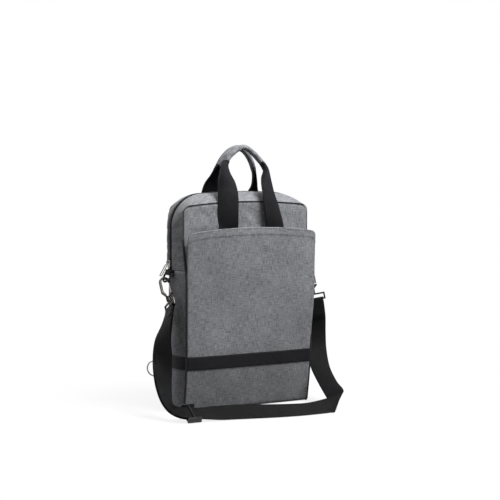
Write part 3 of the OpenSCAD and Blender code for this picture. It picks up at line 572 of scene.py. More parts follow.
stripT = np.linspace(0, 1, 260)[:, None]
stripS = np.concatenate([np.linspace(0, 0.1, 6)[:-1], np.linspace(0.1, 0.9, 22)[:-1],
                         np.linspace(0.9, 1, 8)])[None]
frontStrip = gridMesh("frontZipGusset", stripPoints(stripT, stripS, -1), melange, inside=(0, 0, 200))
thicken(frontStrip, 1.4)
overMouth(frontStrip, "melange_fabric", "front_zip_gusset_left", "front_zip_gusset_right",
          "front_zip_gusset_top")
rearStrip = gridMesh("rearZipGusset", stripPoints(stripT, stripS, 1, seed=11), melange, inside=(0, 0, 200))
thicken(rearStrip, 1.4)
finish(rearStrip, "bag", "melange_fabric", "rear_zip_gusset")

# lower sides and base

sideWall = {"fold": 1.8, "fine": 0.7}


def sidePoints(z, s, side, proud=0.0):
    # A side wall from the rear seam (s 0) to the front seam (s 1): a shallow arch in plan, soft
    # dents, and a tuck at the base.
    z, s = np.broadcast_arrays(z, s)
    yF, yR = seamY(z), bag["rearY"]
    y = yR + (yF - yR) * s
    k = 2 * s - 1
    bulge = (bag["sideX"] - bag["halfW"] + 3.2) * (1 - np.abs(k) ** 2.2)
    hold = np.sin(pi * np.clip(s, 0, 1)) ** 0.7 * smoothStep((bag["seamZ"] - z) / 14) * smoothStep(z / 30)
    dents = softNoise(z + 12 * k, s * 90, 52, 34, 21 + (side > 0)) * sideWall["fold"]
    dents = dents + softNoise(z - 20 * k, s * 90, 19, 40, 31 + (side > 0)) * sideWall["fine"]
    seam = -0.9 * (np.exp(-(s * 90 / 2.2) ** 2) + np.exp(-((1 - s) * 90 / 2.2) ** 2))
    seam = seam - 0.9 * np.exp(-((bag["seamZ"] - z) / 2.0) ** 2)
    inwards = footIn(z)
    x = bag["rearW"] + (bag["halfW"] - bag["rearW"]) * s + bulge + dents * hold + seam + proud - inwards
    y = y * (1 - inwards / 60)
    return np.stack([side * x, y, z], -1)


sideZ = np.concatenate([np.linspace(0.7, 10, 9)[:-1], np.linspace(10, bag["seamZ"], 92)])[:, None]
sideS = np.linspace(0, 1, 40)[None]
for name, side in (("left", -1), ("right", 1)):
    wall = gridMesh(name + "SideGusset", sidePoints(sideZ, sideS, side), melange, inside=(0, 0, 150))
    thicken(wall, 1.4)
    finish(wall, "bag", "melange_fabric", name + "_side_gusset")

baseS = np.linspace(0, 1, 30)
leftEdge = sidePoints(np.array([[0.7]]), baseS[None], -1)[0]
rightEdge = sidePoints(np.array([[0.7]]), baseS[None], 1)[0]
mix = np.linspace(0, 1, 60)[None, :, None]
basePts = leftEdge[:, None] * (1 - mix) + rightEdge[:, None] * mix
basePts[..., 2] = 0.7 + 0.5 * np.sin(pi * mix[..., 0]) * np.sin(pi * baseS[:, None])
basePanel = gridMesh("basePanel", basePts, melange, inside=(0, 0, 200))
thicken(basePanel, 1.2)
finish(basePanel, "bag", "melange_fabric", "base_panel")

# front and back panels

panelSoft = {"bow": 1.5, "fold": 1.7}


def panelTop(x, wide):
    # the panel's top edge: a shallow arch with rounded corners
    half, r = wide - 0.6, bag["cornerR"]
    shoulder = bag["top"] - bag["rise"]
    level = bag["rise"] * (1 - np.clip(np.abs(x) / (half - r), 0, 1) ** 2)
    drop = r - np.sqrt(np.maximum(0, r * r - np.clip(np.abs(x) - (half - r), 0, r) ** 2))
    return shoulder + level - drop


def panelPoints(u, v, face, proud=0.0):
    # A panel, u from -1 to 1 across and v from 0 to 1 up. It bows a little, and creases gather
    # between the handle legs above the pocket.
    u, v = np.broadcast_arrays(u, v)
    wide, flatY = (bag["halfW"], bag["wallY"]) if face < 0 else (bag["rearW"], bag["rearY"])
    x = (wide - 0.6) * np.sin(pi / 2 * u)
    z = 3 + v * (panelTop(x, wide) - 3)
    edge = seamY(z) if face < 0 else np.full_like(z, flatY)
    near = (np.abs(x) / wide) ** 10
    upper = smoothStep((z - 335) / 20) * smoothStep((394 - z) / 18) * smoothStep((126 - np.abs(x)) / 30)
    crease = softNoise(x * 0.8 + (z - 345) * 0.6, x * 0.3 - z, 15, 60, 41 + face) * panelSoft["fold"]
    crease = crease + softNoise(x, z, 40, 22, 47 + face) * 1.2
    out = panelSoft["bow"] * (1 - near) * np.sin(pi * np.clip(v, 0, 1)) + crease * upper + proud
    back = 1.6 * smoothStep((v - 0.985) / 0.015)
    y = face * (np.abs(edge) * near + flatY * (1 - near) + out - back)
    return np.stack([x, y, z], -1)


panelU = np.linspace(-1, 1, 130)[:, None]
panelV = np.concatenate([np.linspace(0, 0.8, 30)[:-1], np.linspace(0.8, 1, 46)])[None]
frontPanel = gridMesh("frontPanel", panelPoints(panelU, panelV, -1), melange, inside=(0, 0, 200))
thicken(frontPanel, 1.4)
overMouth(frontPanel, "melange_fabric", "front_panel", "front_top_panel")
backPanel = gridMesh("backPanel", panelPoints(panelU, panelV, 1), melange, inside=(0, 0, 200))
thicken(backPanel, 1.4)
finish(backPanel, "bag", "melange_fabric", "back_panel")
print("shell made")

# pockets


def pocketHalf(z, face):
    # half of the pocket's width; the rear one is drawn in at the sides as it fills
    return bag["halfW"] + 0.4 if face < 0 else bag["rearW"] - 6 * smoothStep(z / 90)


def pocketTop(x):
    # the pocket's top edge: highest in the middle, with rounded corners
    r, half = pocket["cornerR"], bag["halfW"] + 0.4
    base = pocket["top"] - pocket["dip"] * (np.abs(x) / half) ** 2.4
    out = np.clip(np.abs(x) - (half - r), 0, r)
    return base - 0.8 * (r - np.sqrt(np.maximum(0, r * r - out * out)))


def pocketShift(x, z, face):
    # the front pocket gapes at its right-hand corner: outwards, and away from the bag
    k = smoothStep((z - 100) / 130) * smoothStep((x - 10) / 120) * (face < 0)
    return pocket["gape"][0] * k, pocket["gape"][1] * k


def pocketY(x, z, face):
    gap = pocket["front"] if face < 0 else pocket["back"]
    across = np.clip(1 - (np.abs(x) / pocketHalf(z, face)) ** (2.3 if face < 0 else 2.0), 0, 1)
    belly = pocket["belly"] * across * smoothStep(z / 150) * (0.75 + 0.25 * np.cos(2 * pi * z / 700))
    if face < 0:
        return bag["wallY"] + pocketOff(z, gap) - 1.2 * (1 - across) + belly
    return bag["rearY"] + 3 + (pocketOff(z, gap) - 3) * (0.25 + 0.75 * across ** 0.6) + belly


def pocketPoints(u, v, face, proud=0.0):
    # A pocket's panel: it leaves the base, stands off the bag and bellies in the middle, with a
    # folded hem along its top.
    u, v = np.broadcast_arrays(u, v)
    k = np.sin(pi / 2 * u)
    top = pocketTop(k * (bag["halfW"] + 0.4))
    z = 1.0 + v * (top - 1.0)
    x = pocketHalf(z, face) * k
    inner = smoothStep((1 - np.abs(k)) * 5)
    soft = softNoise(x, z, 70, 95, 61 + face) * 1.8 + softNoise(x + z * 0.2, z, 26, 60, 63 + face) * 0.55
    hem = 0.5 * smoothStep((z - top + 15) / 1.5)
    out = soft * inner * smoothStep(z / 30) * smoothStep((top - z) / 20 + 0.25) + hem + proud
    edge = -0.7 * np.exp(-((1 - np.abs(k)) * bag["halfW"] / 1.6) ** 2)
    inwards = footIn(z)
    away, wider = pocketShift(x, z, face)
    y = pocketY(x, z, face) + out + edge - inwards + wider
    return np.stack([x * (1 - inwards / bag["halfW"]) + away, face * y, z], -1)


pocketU = np.linspace(-1, 1, 120)[:, None]
pocketV = np.concatenate([np.linspace(0, 0.03, 7)[:-1], np.linspace(0.03, 0.93, 80)[:-1],
                          np.linspace(0.93, 1, 16)])[None]
for name, face in (("front", -1), ("back", 1)):
    panel = gridMesh(name + "PocketPanel", pocketPoints(pocketU, pocketV, face), melange,
                     inside=(0, 0, 150))
    thicken(panel, 1.5)
    finish(panel, "bag", "melange_fabric", name + "_pocket_panel")


def wedgePoints(a, b, face, side):
    # The gusset between a seam and a pocket's edge. a goes up and b from the seam out to the
    # pocket. Near the top it is free and folds inwards like bellows.
    a, b = np.broadcast_arrays(a, b)
    topSeam, topEdge = 316.0, float(pocketTop(np.array(bag["halfW"] - 2))) - 7
    z = 1.5 + a * (topSeam + (topEdge - topSeam) * b - 1.5)
    half = pocketHalf(z, face)
    away, wider = pocketShift(side * half, z, face)
    yIn = np.abs(seamY(z)) if face < 0 else np.full_like(z, bag["rearY"])
    yOut = pocketY(side * half, z, face) - 1.0 + wider
    y = yIn + (np.maximum(yOut, yIn + 0.5) - yIn) * b
    free = smoothStep((z - 236) / 70)
    inFold = 6.5 * np.sin(pi * b) ** 1.2 * free
    ripple = softNoise(z, b * 20, 15, 12, 71 + side) * 1.3 * np.sin(pi * b)
    out = 1.0 * np.sin(pi * b) * (1 - free) + ripple * (0.4 + 0.6 * free)
    inwards = footIn(z)
    start = bag["halfW"] if face < 0 else bag["rearW"]
    wide = start + (half + side * away - start) * b
    x = wide + 0.2 - inFold + out - 0.7 * np.exp(-(b * 20 / 2) ** 2) - inwards
    return np.stack([side * x, face * (y - inwards * 0.6), z], -1)


for face, faceName in ((-1, "front"), (1, "back")):
    for side, sideName in ((-1, "left"), (1, "right")):
        wedge = gridMesh(faceName + "PocketGusset" + sideName.capitalize(),
                         wedgePoints(np.linspace(0, 1, 90)[:, None], np.linspace(0, 1, 16)[None],
                                     face, side),
                         melange, inside=(0, 0, 150))
        thicken(wedge, 1.2)
        finish(wedge, "bag", "melange_fabric", faceName + "_pocket_gusset_" + sideName)
print("pockets made")

# band, piping and painted seam shadows

band = {"low": 82.0, "high": 107.0, "proud": 0.55, "thick": 1.0}
bandZ = np.linspace(band["low"], band["high"], 9)
bandX = np.linspace(-1, 1, 110)[:, None]
xBand = (bag["halfW"] + 0.8) * bandX
frontBandPts = np.stack(np.broadcast_arrays(xBand, 0 * xBand, bandZ[None]), -1).astype(float)
uBand = np.arcsin(np.clip(xBand / (bag["halfW"] + 0.4), -1, 1)) * 2 / pi
vBand = (bandZ[None] - 1.0) / (pocketTop(xBand) - 1.0)
frontBandPts[..., 1] = pocketPoints(uBand, vBand, -1, proud=band["proud"] + 0.9)[..., 1]
uvBand = np.stack([np.broadcast_to(bandZ[None] * mm, frontBandPts.shape[:2]),
                   frontBandPts[..., 0] * mm], -1)
frontBand = gridMesh("frontBand", frontBandPts, webbing, inside=(0, 0, 100), uv=uvBand)
thicken(frontBand, band["thick"])
finish(frontBand, "bag", "webbing", "bottom_band")
for name, side in (("left", -1), ("right", 1)):
    sideBandPts = sidePoints(bandZ[None], np.linspace(0.01, 0.995, 44)[:, None], side,
                             proud=band["proud"] + 0.9)
    uvSide = np.stack([sideBandPts[..., 2], -sideBandPts[..., 1]], -1) * mm
    sideBand = gridMesh(name + "Band", sideBandPts, webbing, inside=(0, 0, 100), uv=uvSide)
    thicken(sideBand, band["thick"])
    finish(sideBand, "bag", "webbing")

# r is the side piping's radius; the second entry is the radius of the dark cords that are painted shadow
# along the panels' top seams
piping = {"r": 2.0, "seamShadowR": 0.6}
for name, side in (("left", -1), ("right", 1)):
    pz = np.concatenate([np.linspace(1.5, 12, 8)[:-1], np.linspace(12, 328, 90)])
    px = bag["halfW"] + (1.7 if side < 0 else 0.3) - footIn(pz)
    path = np.stack([side * px, seamY(pz) - 1.6 + footIn(pz) * 0.6, pz], 1)
    cordPiece = tubeMesh(name + "Piping", path, piping["r"], pipingAndSeamShadowCloth, sides=14)
    finish(cordPiece, "bag", "piping", "piping_" + name)

# The panels' top seams: the thin dark cords laid along them, in the piping's cloth, are painted shadow of
# the seams, not piping.
seamT = np.linspace(0.0, 1, 320)
seamX, seamZ = archPath(seamT, bag["rearW"], bag["cornerR"], bag["top"], bag["rise"], bag["seamZ"])
rearSeam = np.stack([seamX, np.full_like(seamX, bag["rearY"] + 0.5), seamZ], 1)
seamX, seamZ = archPath(seamT, bag["halfW"], bag["cornerR"], bag["top"], bag["rise"], bag["seamZ"])
keep = seamZ > 322
frontSeam = np.stack([seamX, seamY(seamZ) - 0.5, seamZ], 1)[keep]
frontSeamShadowCord = tubeMesh("frontSeamPaintedShadow", frontSeam, piping["seamShadowR"], pipingAndSeamShadowCloth, sides=8)
overMouth(frontSeamShadowCord, "piping")
rearSeamShadowCord = tubeMesh("rearSeamPaintedShadow", rearSeam, piping["seamShadowR"] * 0.8, pipingAndSeamShadowCloth, sides=8)
finish(rearSeamShadowCord, "bag", "piping")
print("trim made")

# zip: tape, coil and stops

zipper = {"tooth": 1.7, "toothSize": (1.15, 3.3, 1.5), "tapeDrop": 1.0}


def zipLine(t, out):
    # the middle of the zip: the crown outline, moved outwards
    x, z = archPath(t, bag["sideX"], bag["zipR"], bag["crown"], bag["crownRise"], bag["seamZ"])
    dx, dz = np.gradient(x), np.gradient(z)
    long = np.hypot(dx, dz)
    nx, nz = -dz / long, dx / long
    return np.stack([x + nx * out, np.zeros_like(x), z + nz * out], 1), np.stack([nx, 0 * nx, nz], 1)


zipT = np.linspace(0.004, 0.996, 300)
for name, face, near in (("front", -1, "mouth"), ("rear", 1, "bag")):
    line, lift = zipLine(zipT, -zipper["tapeDrop"])
    acrossTape = np.linspace(0.35, 7.5, 7)
    rise = -0.25 * np.cos(acrossTape / 7.5 * pi)
    pts = line[:, None] + lift[:, None] * rise[:, None]
    pts[..., 1] = face * acrossTape[None]
    far = along(line)
    uv = np.stack(np.meshgrid(far, acrossTape, indexing="ij"), -1)[..., ::-1] * mm
    tape = gridMesh(name + "ZipTape", pts, tapeCloth, inside=(0, 0, 200), uv=uv)
    thicken(tape, 0.6)
    # coil: low rounded loops, one for each tooth
    line2, lift2 = zipLine(np.linspace(0.012, 0.988, 1200), 0.25)
    far2 = along(line2)
    count = int(far2[-1] / zipper["tooth"])
    at = (np.arange(count) + (0.5 if face > 0 else 0.0)) * zipper["tooth"]
    centre = np.stack([np.interp(at, far2, line2[:, k]) for k in range(3)], 1)
    upDir = unit(np.stack([np.interp(at, far2, lift2[:, k]) for k in range(3)], 1))
    acrossDir = np.broadcast_to(np.array([0.0, 1.0, 0.0]), upDir.shape)
    alongDir = np.cross(acrossDir, upDir)
    centre = centre + acrossDir * face * 1.15
    lat = np.linspace(-pi / 2, pi / 2, 5)[1:-1]
    lon = np.linspace(0, 2 * pi, 8, endpoint=False)
    ball = [(np.cos(p) * np.cos(q), np.sin(p), np.cos(p) * np.sin(q)) for p in lat for q in lon]
    ball = np.array([(0, -1, 0)] + ball + [(0, 1, 0)]) * np.array(zipper["toothSize"]) / 2
    verts = (centre[:, None] + alongDir[:, None] * ball[None, :, :1]
             + acrossDir[:, None] * ball[None, :, 1:2] + upDir[:, None] * ball[None, :, 2:])
    one = []
    for i in range(2):
        for j in range(8):
            a0, b0 = 1 + i * 8 + j, 1 + i * 8 + (j + 1) % 8
            one.append((a0, b0, b0 + 8, a0 + 8))
    ends = [(0, 1 + (j + 1) % 8, 1 + j) for j in range(8)]
    ends += [(25, 17 + j, 17 + (j + 1) % 8) for j in range(8)]
    quads = (np.array(one)[None] + 26 * np.arange(count)[:, None, None]).reshape(-1, 4).tolist()
    tris = (np.array(ends)[None] + 26 * np.arange(count)[:, None, None]).reshape(-1, 3).tolist()
    faces = quads + tris
    corners = sum(len(f) for f in faces)
    coil = finishMesh(name + "ZipCoil", verts.reshape(-1, 3), faces, np.zeros((corners, 2)), coilNylon)
    bm = bmesh.new()
    bm.from_mesh(coil.data)
    bmesh.ops.recalc_face_normals(bm, faces=bm.faces)
    bm.to_mesh(coil.data)
    bm.free()
    if face < 0:
        overMouth(tape, "zip_tape", "front_zip_tape_left", "front_zip_tape_right", "front_zip_tape_top")
        overMouth(coil, "zip_tape")
    else:
        finish(tape, "bag", "zip_tape", "rear_zip_tape")
        finish(coil, "bag", "zip_tape")
print("zip made")

# handles

handle = {"thick": 2.0, "halfW": 19.8, "gripR": (5.3, 7.4), "puff": 2.4}
# place, half-width direction, and how far the webbing is folded round on itself, in radians
legRows = {
    "frontLeft": [[-42, -45.2, 342, 19.8, 0, 0, 0.05, 1],
                  [-42, -46.4, 350, 19, -4, 0, 0.12, 1], [-43.5, -50, 378, 18.8, -6, 0, 0.25, 1],
                  [-43, -48.5, 407, 18.4, -7, 0, 0.4, 1], [-42, -43, 424, 18.2, -7.6, 0, 0.75, 1],
                  [-41, -35, 443, 18.6, -6.6, 0, 1.25, 0.95], [-38.5, -26, 457, 18.8, -4, -2, 1.9, 0.85],
                  [-35, -19, 467, 17, 0, -8, 2.4, 0.72], [-30, -15, 474, 13, 2, -13, 2.7, 0.6]],
    "frontRight": [[60, -45.2, 342, 19.8, 0, 0, 0.05, 1],
                   [59.5, -46.4, 350, 19.5, 3, 0, 0.12, 1], [55, -49.6, 368, 19.2, 4.6, -1, 0.3, 1],
                   [51.5, -50, 387, 18.8, 5.6, -1.5, 0.5, 1], [49, -48, 406, 18.6, 6.4, -2, 0.8, 1],
                   [48, -42, 425, 18.4, 7, -2, 1.2, 0.95], [49.5, -32, 443, 18.6, 6.6, 0, 1.8, 0.75],
                   [53, -22, 456, 18.6, 5, 4, 2.3, 0.5], [53, -15, 464, 16, 3, 10, 2.6, 0.48],
                   [46, -13, 473, 13, 0, 14, 2.8, 0.45]],
    "rearLeft": [[-42, -45.2, 342, 19.8, 0, 0, 0.05, 1],
                 [-41.5, -46.2, 350, 19.5, 2, 0, 0.1, 1], [-38, -47.5, 378, 19, 4, 0, 0.2, 1],
                 [-36, -43, 405, 18.4, 6, 0, 0.3, 1], [-34, -38, 422, 18, 8, 0, 0.6, 1],
                 [-32, -31, 438, 17.6, 8, 0, 1.1, 0.95], [-32, -23, 452, 17, 7, 0, 1.7, 0.85],
                 [-32.5, -16, 463, 15, 3, -8, 2.3, 0.7], [-28, -13, 473, 13, 0, -12, 2.7, 0.55]],
    "rearRight": [[60, -45.2, 342, 19.8, 0, 0, 0.05, 1],
                  [59.5, -46.4, 350, 19.5, 3, 0, 0.12, 1], [57, -47.5, 370, 19.2, 4.6, -1, 0.3, 1],
                  [55, -44, 393, 18.8, 5.6, -1.5, 0.7, 1], [54.5, -38, 411, 18.6, 6.4, -2, 1.3, 0.85],
                  [54, -31, 425, 18.4, 7, -2, 1.9, 0.6], [50.5, -23, 438, 18.6, 6.6, 2, 2.3, 0.5],
                  [46, -16.5, 451, 18, 5, 6, 2.6, 0.42], [41, -13, 464, 15, 0, 12, 2.8, 0.4]],
}


def legMesh(name, rows, mirror):
    # Webbing whose section is an arc: almost flat at the pocket, and folded round on itself where
    # it goes into the grip, so that its width stays the same along the curve.
    fine = splineRows(rows, 7)
    place, half, fold, squeeze = fine[:, :3], fine[:, 3:6], fine[:, 6], fine[:, 7:8]
    heading = unit(np.gradient(place, axis=0))
    half = unit(half - heading * (half * heading).sum(1, keepdims=True)) * handle["halfW"]
    normal = unit(np.cross(half, heading))
    q = np.linspace(-1, 1, 25)
    th = np.maximum(fold, 0.02)[:, None]
    radius = handle["halfW"] / th
    sideways = squeeze * radius * np.sin(q * th)
    back = radius * (1 - np.cos(q * th)) - radius * (1 - np.cos(th)) * 0.45
    pts = place[:, None] + unit(half)[:, None] * sideways[..., None] - normal[:, None] * back[..., None]
    far = along(place)
    uv = np.stack(np.broadcast_arrays(q[None] * handle["halfW"], far[:, None]), -1) * mm
    if mirror:
        pts = pts * np.array([1, -1, 1])
    obj = gridMesh(name, pts, webbing, inside=(0, 0, 300), uv=uv)
    thicken(obj, handle["thick"], 0.0)
    return obj


gripRows = {  # place of the grip's middle line
    "front": [[-31, -12.5, 470], [-25.5, -12, 480], [-16, -11.5, 490], [-4, -11, 498], [8, -11, 501.5],
              [21, -11, 496.8], [33, -11.5, 487], [44, -12, 476], [54, -13, 465.5]],
    "rear": [[-34, 13, 466], [-27.5, 12, 477.5], [-17, 11.5, 489.5], [-5, 11, 497.5], [8, 11, 500.8],
             [20, 11, 496], [29, 11.5, 487], [36, 12, 476.5], [41, 13, 466], [44.5, 14, 456]],
}


def puff(obj, pinned, pressure, cap):
    # Swells a closed form like stuffed cloth: twenty frames of cloth pressed out from inside. The
    # pinned vertices stay, and no vertex moves further than cap.
    group = obj.vertex_groups.new(name="pinned")
    group.add([int(i) for i in pinned], 1.0, "REPLACE")
    mod = obj.modifiers.new("stuffing", "CLOTH")
    cloth = mod.settings
    cloth.quality = 5
    cloth.mass = 0.25
    cloth.tension_stiffness = cloth.compression_stiffness = 12
    cloth.bending_stiffness = 0.3
    cloth.use_pressure = True
    cloth.uniform_pressure_force = pressure
    cloth.effector_weights.gravity = 0
    cloth.vertex_group_mass = "pinned"
    for f in range(1, 21):
        scene.frame_set(f)
    shaped = obj.evaluated_get(bpy.context.evaluated_depsgraph_get())
    count = len(obj.data.vertices)
    new, old = np.zeros(count * 3), np.zeros(count * 3)
    shaped.data.vertices.foreach_get("co", new)
    obj.data.vertices.foreach_get("co", old)
    move = (new - old).reshape(-1, 3)
    far = np.linalg.norm(move, axis=1, keepdims=True)
    move = move * np.minimum(1, cap * mm / np.maximum(far, 1e-9))
    obj.modifiers.remove(mod)
    obj.vertex_groups.remove(group)
    obj.data.vertices.foreach_set("co", (old.reshape(-1, 3) + move).ravel())
    obj.data.update()
    scene.frame_set(1)


def gripMesh(name, rows, mirror):
    # Padded wrap round the folded webbing: an oval tube along the grip's peak, puckered where the
    # stitching pulls it in underneath, and closed at both ends.
    line = resample(splineRows(rows, 16), 1.2)
    count = len(line)
    heading = unit(np.gradient(line, axis=0))
    level = np.broadcast_to(np.array([0.0, 1.0, 0.0]), heading.shape)
    up = unit(np.cross(heading, level))
    up = up * np.sign(up[:, 2:3] + 1e-6)
    q = np.linspace(0, 2 * pi, 36, endpoint=False)
    far = along(line)
    end = np.minimum(far, far[-1] - far)
    grow = (0.93 + 0.07 * smoothStep(end / 14))[:, None]
    pucker = softNoise(far[:, None], 12 * np.sin(q)[None], 9, 9, 81 + mirror) * 0.35
    r0, r1 = handle["gripR"]
    rUp = r0 * grow + pucker
    rY = r1 * grow + pucker
    # the seam runs along the underside, at q of -90 degrees
    dent = 1.2 * np.exp(-((q[None] - 1.5 * pi) / 0.16) ** 2) * (1 + 0.25 * np.sin(far[:, None] * 1.8))
    pts = (line[:, None] + up[:, None] * ((rUp - dent) * np.sin(q)[None])[..., None]
           + level[:, None] * (rY * np.cos(q)[None])[..., None])
    obj = gridMesh(name, pts, melange, closeV=True, caps=True)
    ringCount = 36
    pinned = list(range(ringCount * 2)) + list(range(len(obj.data.vertices) - 2 * ringCount,
                                                     len(obj.data.vertices)))
    under = [i * ringCount + 27 for i in range(count)]
    puff(obj, pinned + under, handle["puff"], 1.6)
    sub = obj.modifiers.new("smooth", "SUBSURF")
    sub.levels = sub.render_levels = 1
    return obj


for name, body, mirror in (("front", "front_handle", 0), ("rear", "rear_handle", 1)):
    for side in ("left", "right"):
        leg = legMesh(name + "Handle" + side.capitalize() + "Leg", legRows[name + side.capitalize()],
                      mirror)
        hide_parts(name + "_handle_" + side + "_leg")
        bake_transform(leg)
    grip = gripMesh(name + "HandleGrip", gripRows[name], mirror)
    finish(grip, body, "grip_fabric", name + "_handle_grip")
print("handles made")

# hardware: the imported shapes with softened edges


def softened(name, node, width, material, body, slotName, segments=2, angle=35):
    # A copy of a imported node, its loose triangles merged and flat faces joined, with its edges
    # rounded over.
    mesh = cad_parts[node].data.copy()
    mesh.name = name
    bm = bmesh.new()
    bm.from_mesh(mesh)
    bmesh.ops.remove_doubles(bm, verts=bm.verts, dist=1e-6)
    bmesh.ops.dissolve_limit(bm, angle_limit=radians(2), verts=bm.verts, edges=bm.edges)
    for f in bm.faces:
        f.smooth = True
    bm.to_mesh(mesh)
    bm.free()
    mesh.materials.clear()
    mesh.materials.append(material)
    obj = bpy.data.objects.new(name, mesh)
    scene.collection.objects.link(obj)
    bevel = obj.modifiers.new("worn edges", "BEVEL")
    bevel.width = width * mm
    bevel.segments = segments
    bevel.limit_method = "ANGLE"
    bevel.angle_limit = radians(angle)
    bevel.harden_normals = True
    finish(obj, body, slotName, node)
    return obj


def cast(name, node, voxel, passes, material, body, slotName):
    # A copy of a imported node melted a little, as die-cast metal is: its surface is remade in small
    # even steps and relaxed, which rounds every corner.
    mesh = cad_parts[node].data.copy()
    obj = bpy.data.objects.new(name, mesh)
    scene.collection.objects.link(obj)
    remake = obj.modifiers.new("even surface", "REMESH")
    remake.mode, remake.voxel_size = "VOXEL", voxel * mm
    relax = obj.modifiers.new("relax", "SMOOTH")
    relax.factor, relax.iterations = 0.5, passes
    shaped = bpy.data.meshes.new_from_object(obj.evaluated_get(bpy.context.evaluated_depsgraph_get()))
    obj.modifiers.clear()
    obj.data = shaped
    shaped.name = name
    shaped.polygons.foreach_set("use_smooth", np.ones(len(shaped.polygons), bool))
    shaped.materials.clear()
    shaped.materials.append(material)
    finish(obj, body, slotName, node)
    return obj


castMetal = [  # name, node, step in mm, passes, material, body
    ("leftHook", "left_hook", 0.5, 7, gunmetal, "left_hook"),
    ("rightHook", "right_hook", 0.5, 7, gunmetal, "right_hook"),
    ("leftHookGate", "left_hook_gate", 0.4, 3, paleMetal, "left_gate"),
    ("rightHookGate", "right_hook_gate", 0.4, 3, paleMetal, "right_gate"),
    ("leftStrapEye", "left_swivel_eye", 0.5, 6, gunmetal, "bag"),
    ("rightStrapEye", "right_swivel_eye", 0.5, 6, gunmetal, "bag"),
    ("zipSlider", "zip_slider", 0.3, 4, paleMetal, "zip_slider"),
    ("zipPull", "zip_pull", 0.3, 3, paleMetal, "zip_pull"),
]
for row in castMetal:
    cast(*row, "zinc_alloy")

hardware = [  # name, node, edge radius in mm, material, body, slot
    ("leftSideRing", "left_d_ring", 0.2, gunmetal, "left_ring", "zinc_alloy"),
    ("rightSideRing", "right_d_ring", 0.2, gunmetal, "right_ring", "zinc_alloy"),
    ("lowerLeftRing", "lower_left_ring", 0.2, paleMetal, "lower_left_ring", "zinc_alloy"),
    ("lowerRightRing", "lower_right_ring", 0.2, paleMetal, "lower_right_ring", "zinc_alloy"),
    ("zipTopStop", "zip_top_stop", 0.4, paleMetal, "bag", "zinc_alloy"),
    ("zipBottomStop", "zip_bottom_stop", 0.4, paleMetal, "bag", "zinc_alloy"),
    ("strapSlider", "strap_slider", 0.5, acetal, "strap_slider", "black_acetal"),
    ("baseBoard", "base_board", 0.5, board, "bag", "base_board"),
]
for row in hardware:
    softened(*row)
print("hardware made")

# lining, foam, divider and organiser

inside = {"low": 6.0, "high": 340.0, "quilt": 32.0}


def liningPoints(z, a, grow=0.0):
    # Loops round the inside: a rounded rectangle, narrower at the rear, with slack ripples, that
    # rounds in to the floor.
    z, a = np.broadcast_arrays(z, a)
    c, n = np.cos(a), np.sin(a)
    foot = np.clip((z - inside["low"]) / 12, 0, 1) ** 0.5
    x = np.sign(c) * np.abs(c) ** 0.25 * (118 + 9 * foot + grow)
    y = np.sign(n) * np.abs(n) ** 0.25 * (31 + 6 * foot + grow) - 2.0
    x = x * (1 - 0.055 * (y + 39) / 76)
    slack = 1.5 * (softNoise(a * 60, z, 22, 70, 91) - 1) * smoothStep((z - 12) / 40)
    return np.stack([x + slack * c, y + slack * n, z], -1)


ringQ = np.linspace(0, 2 * pi, 160, endpoint=False)[None]
liningZ = np.concatenate([np.linspace(inside["low"], 20, 10)[:-1], np.linspace(20, inside["high"], 60)])
liningSide = liningPoints(liningZ[:, None], ringQ)
floorScale = np.linspace(0.02, 1, 8)[:-1, None, None] * np.array([1, 1, 0]) + np.array([0, 0, 1])
liningFloor = liningSide[:1] * floorScale
lining = gridMesh("liningBag", np.concatenate([liningFloor, liningSide]), liningCloth, closeV=True,
                  inside=(0, 0, 170))
thicken(lining, 0.5)
finish(lining, "bag", "lining", "lining")


def plate(name, x, y, z0, z1, half, thick, material, slotName, node, quilt=0.0, body="bag"):
    # A padded board: a rounded flat section carried upwards, drawn in at both ends, with dents
    # along its quilting lines.
    f = np.linspace(0, 1, 70)
    z = z0 + (z1 - z0) * (1 - np.cos(pi * f)) / 2
    end = np.minimum(z - z0, z1 - z)
    ease = np.sqrt(np.clip(1 - (1 - np.clip(end / 6, 0, 1)) ** 2, 0.02, 1))[:, None]
    q = np.linspace(0, 2 * pi, 120, endpoint=False)[None]
    c, n = np.cos(q), np.sin(q)
    px = np.sign(c) * np.abs(c) ** 0.3 * (half - 3 * (1 - ease))
    dent = quilt * np.exp(-(((px + z[:, None]) % inside["quilt"] - inside["quilt"] / 2) / 1.6) ** 2)
    dent = dent + quilt * np.exp(-(((px - z[:, None]) % inside["quilt"] - inside["quilt"] / 2) / 1.6) ** 2)
    py = np.sign(n) * np.abs(n) ** 0.35 * (thick / 2 - dent) * ease
    pts = np.stack([x + px, y + py, np.broadcast_to(z[:, None], px.shape)], -1)
    obj = gridMesh(name, pts, material, closeV=True, caps=True)
    finish(obj, body, slotName, node)
    return obj


plate("laptopDivider", 0, 9, 7, 262, 121, 4, liningCloth, "lining", "laptop_divider", quilt=0.7)
plate("backFoam", 0, 36.8, 9, 368, 117, 3, board, "foam", "back_foam")
plate("organiserPanel", 0, -34.6, 128, 268, 100, 3, liningCloth, "lining", "organiser_pocket")
print("inside made")

# tabs and anchors of webbing

for node, body in (("left_side_tab", "bag"), ("right_side_tab", "bag"), ("lower_left_tab", "bag"),
                   ("lower_right_tab", "bag"), ("handle_anchors", "bag")):
    tab = softened(node + "Webbing", node, 0.5, webbing, body, "webbing")
    layer = tab.data.uv_layers.new(name="cloth")
    corner = np.zeros(len(tab.data.loops), int)
    tab.data.loops.foreach_get("vertex_index", corner)
    where = np.zeros(len(tab.data.vertices) * 3)
    tab.data.vertices.foreach_get("co", where)
    where = where.reshape(-1, 3)[corner]
    layer.data.foreach_set("uv", np.stack([where[:, 1], where[:, 0] + where[:, 2]], 1).ravel())
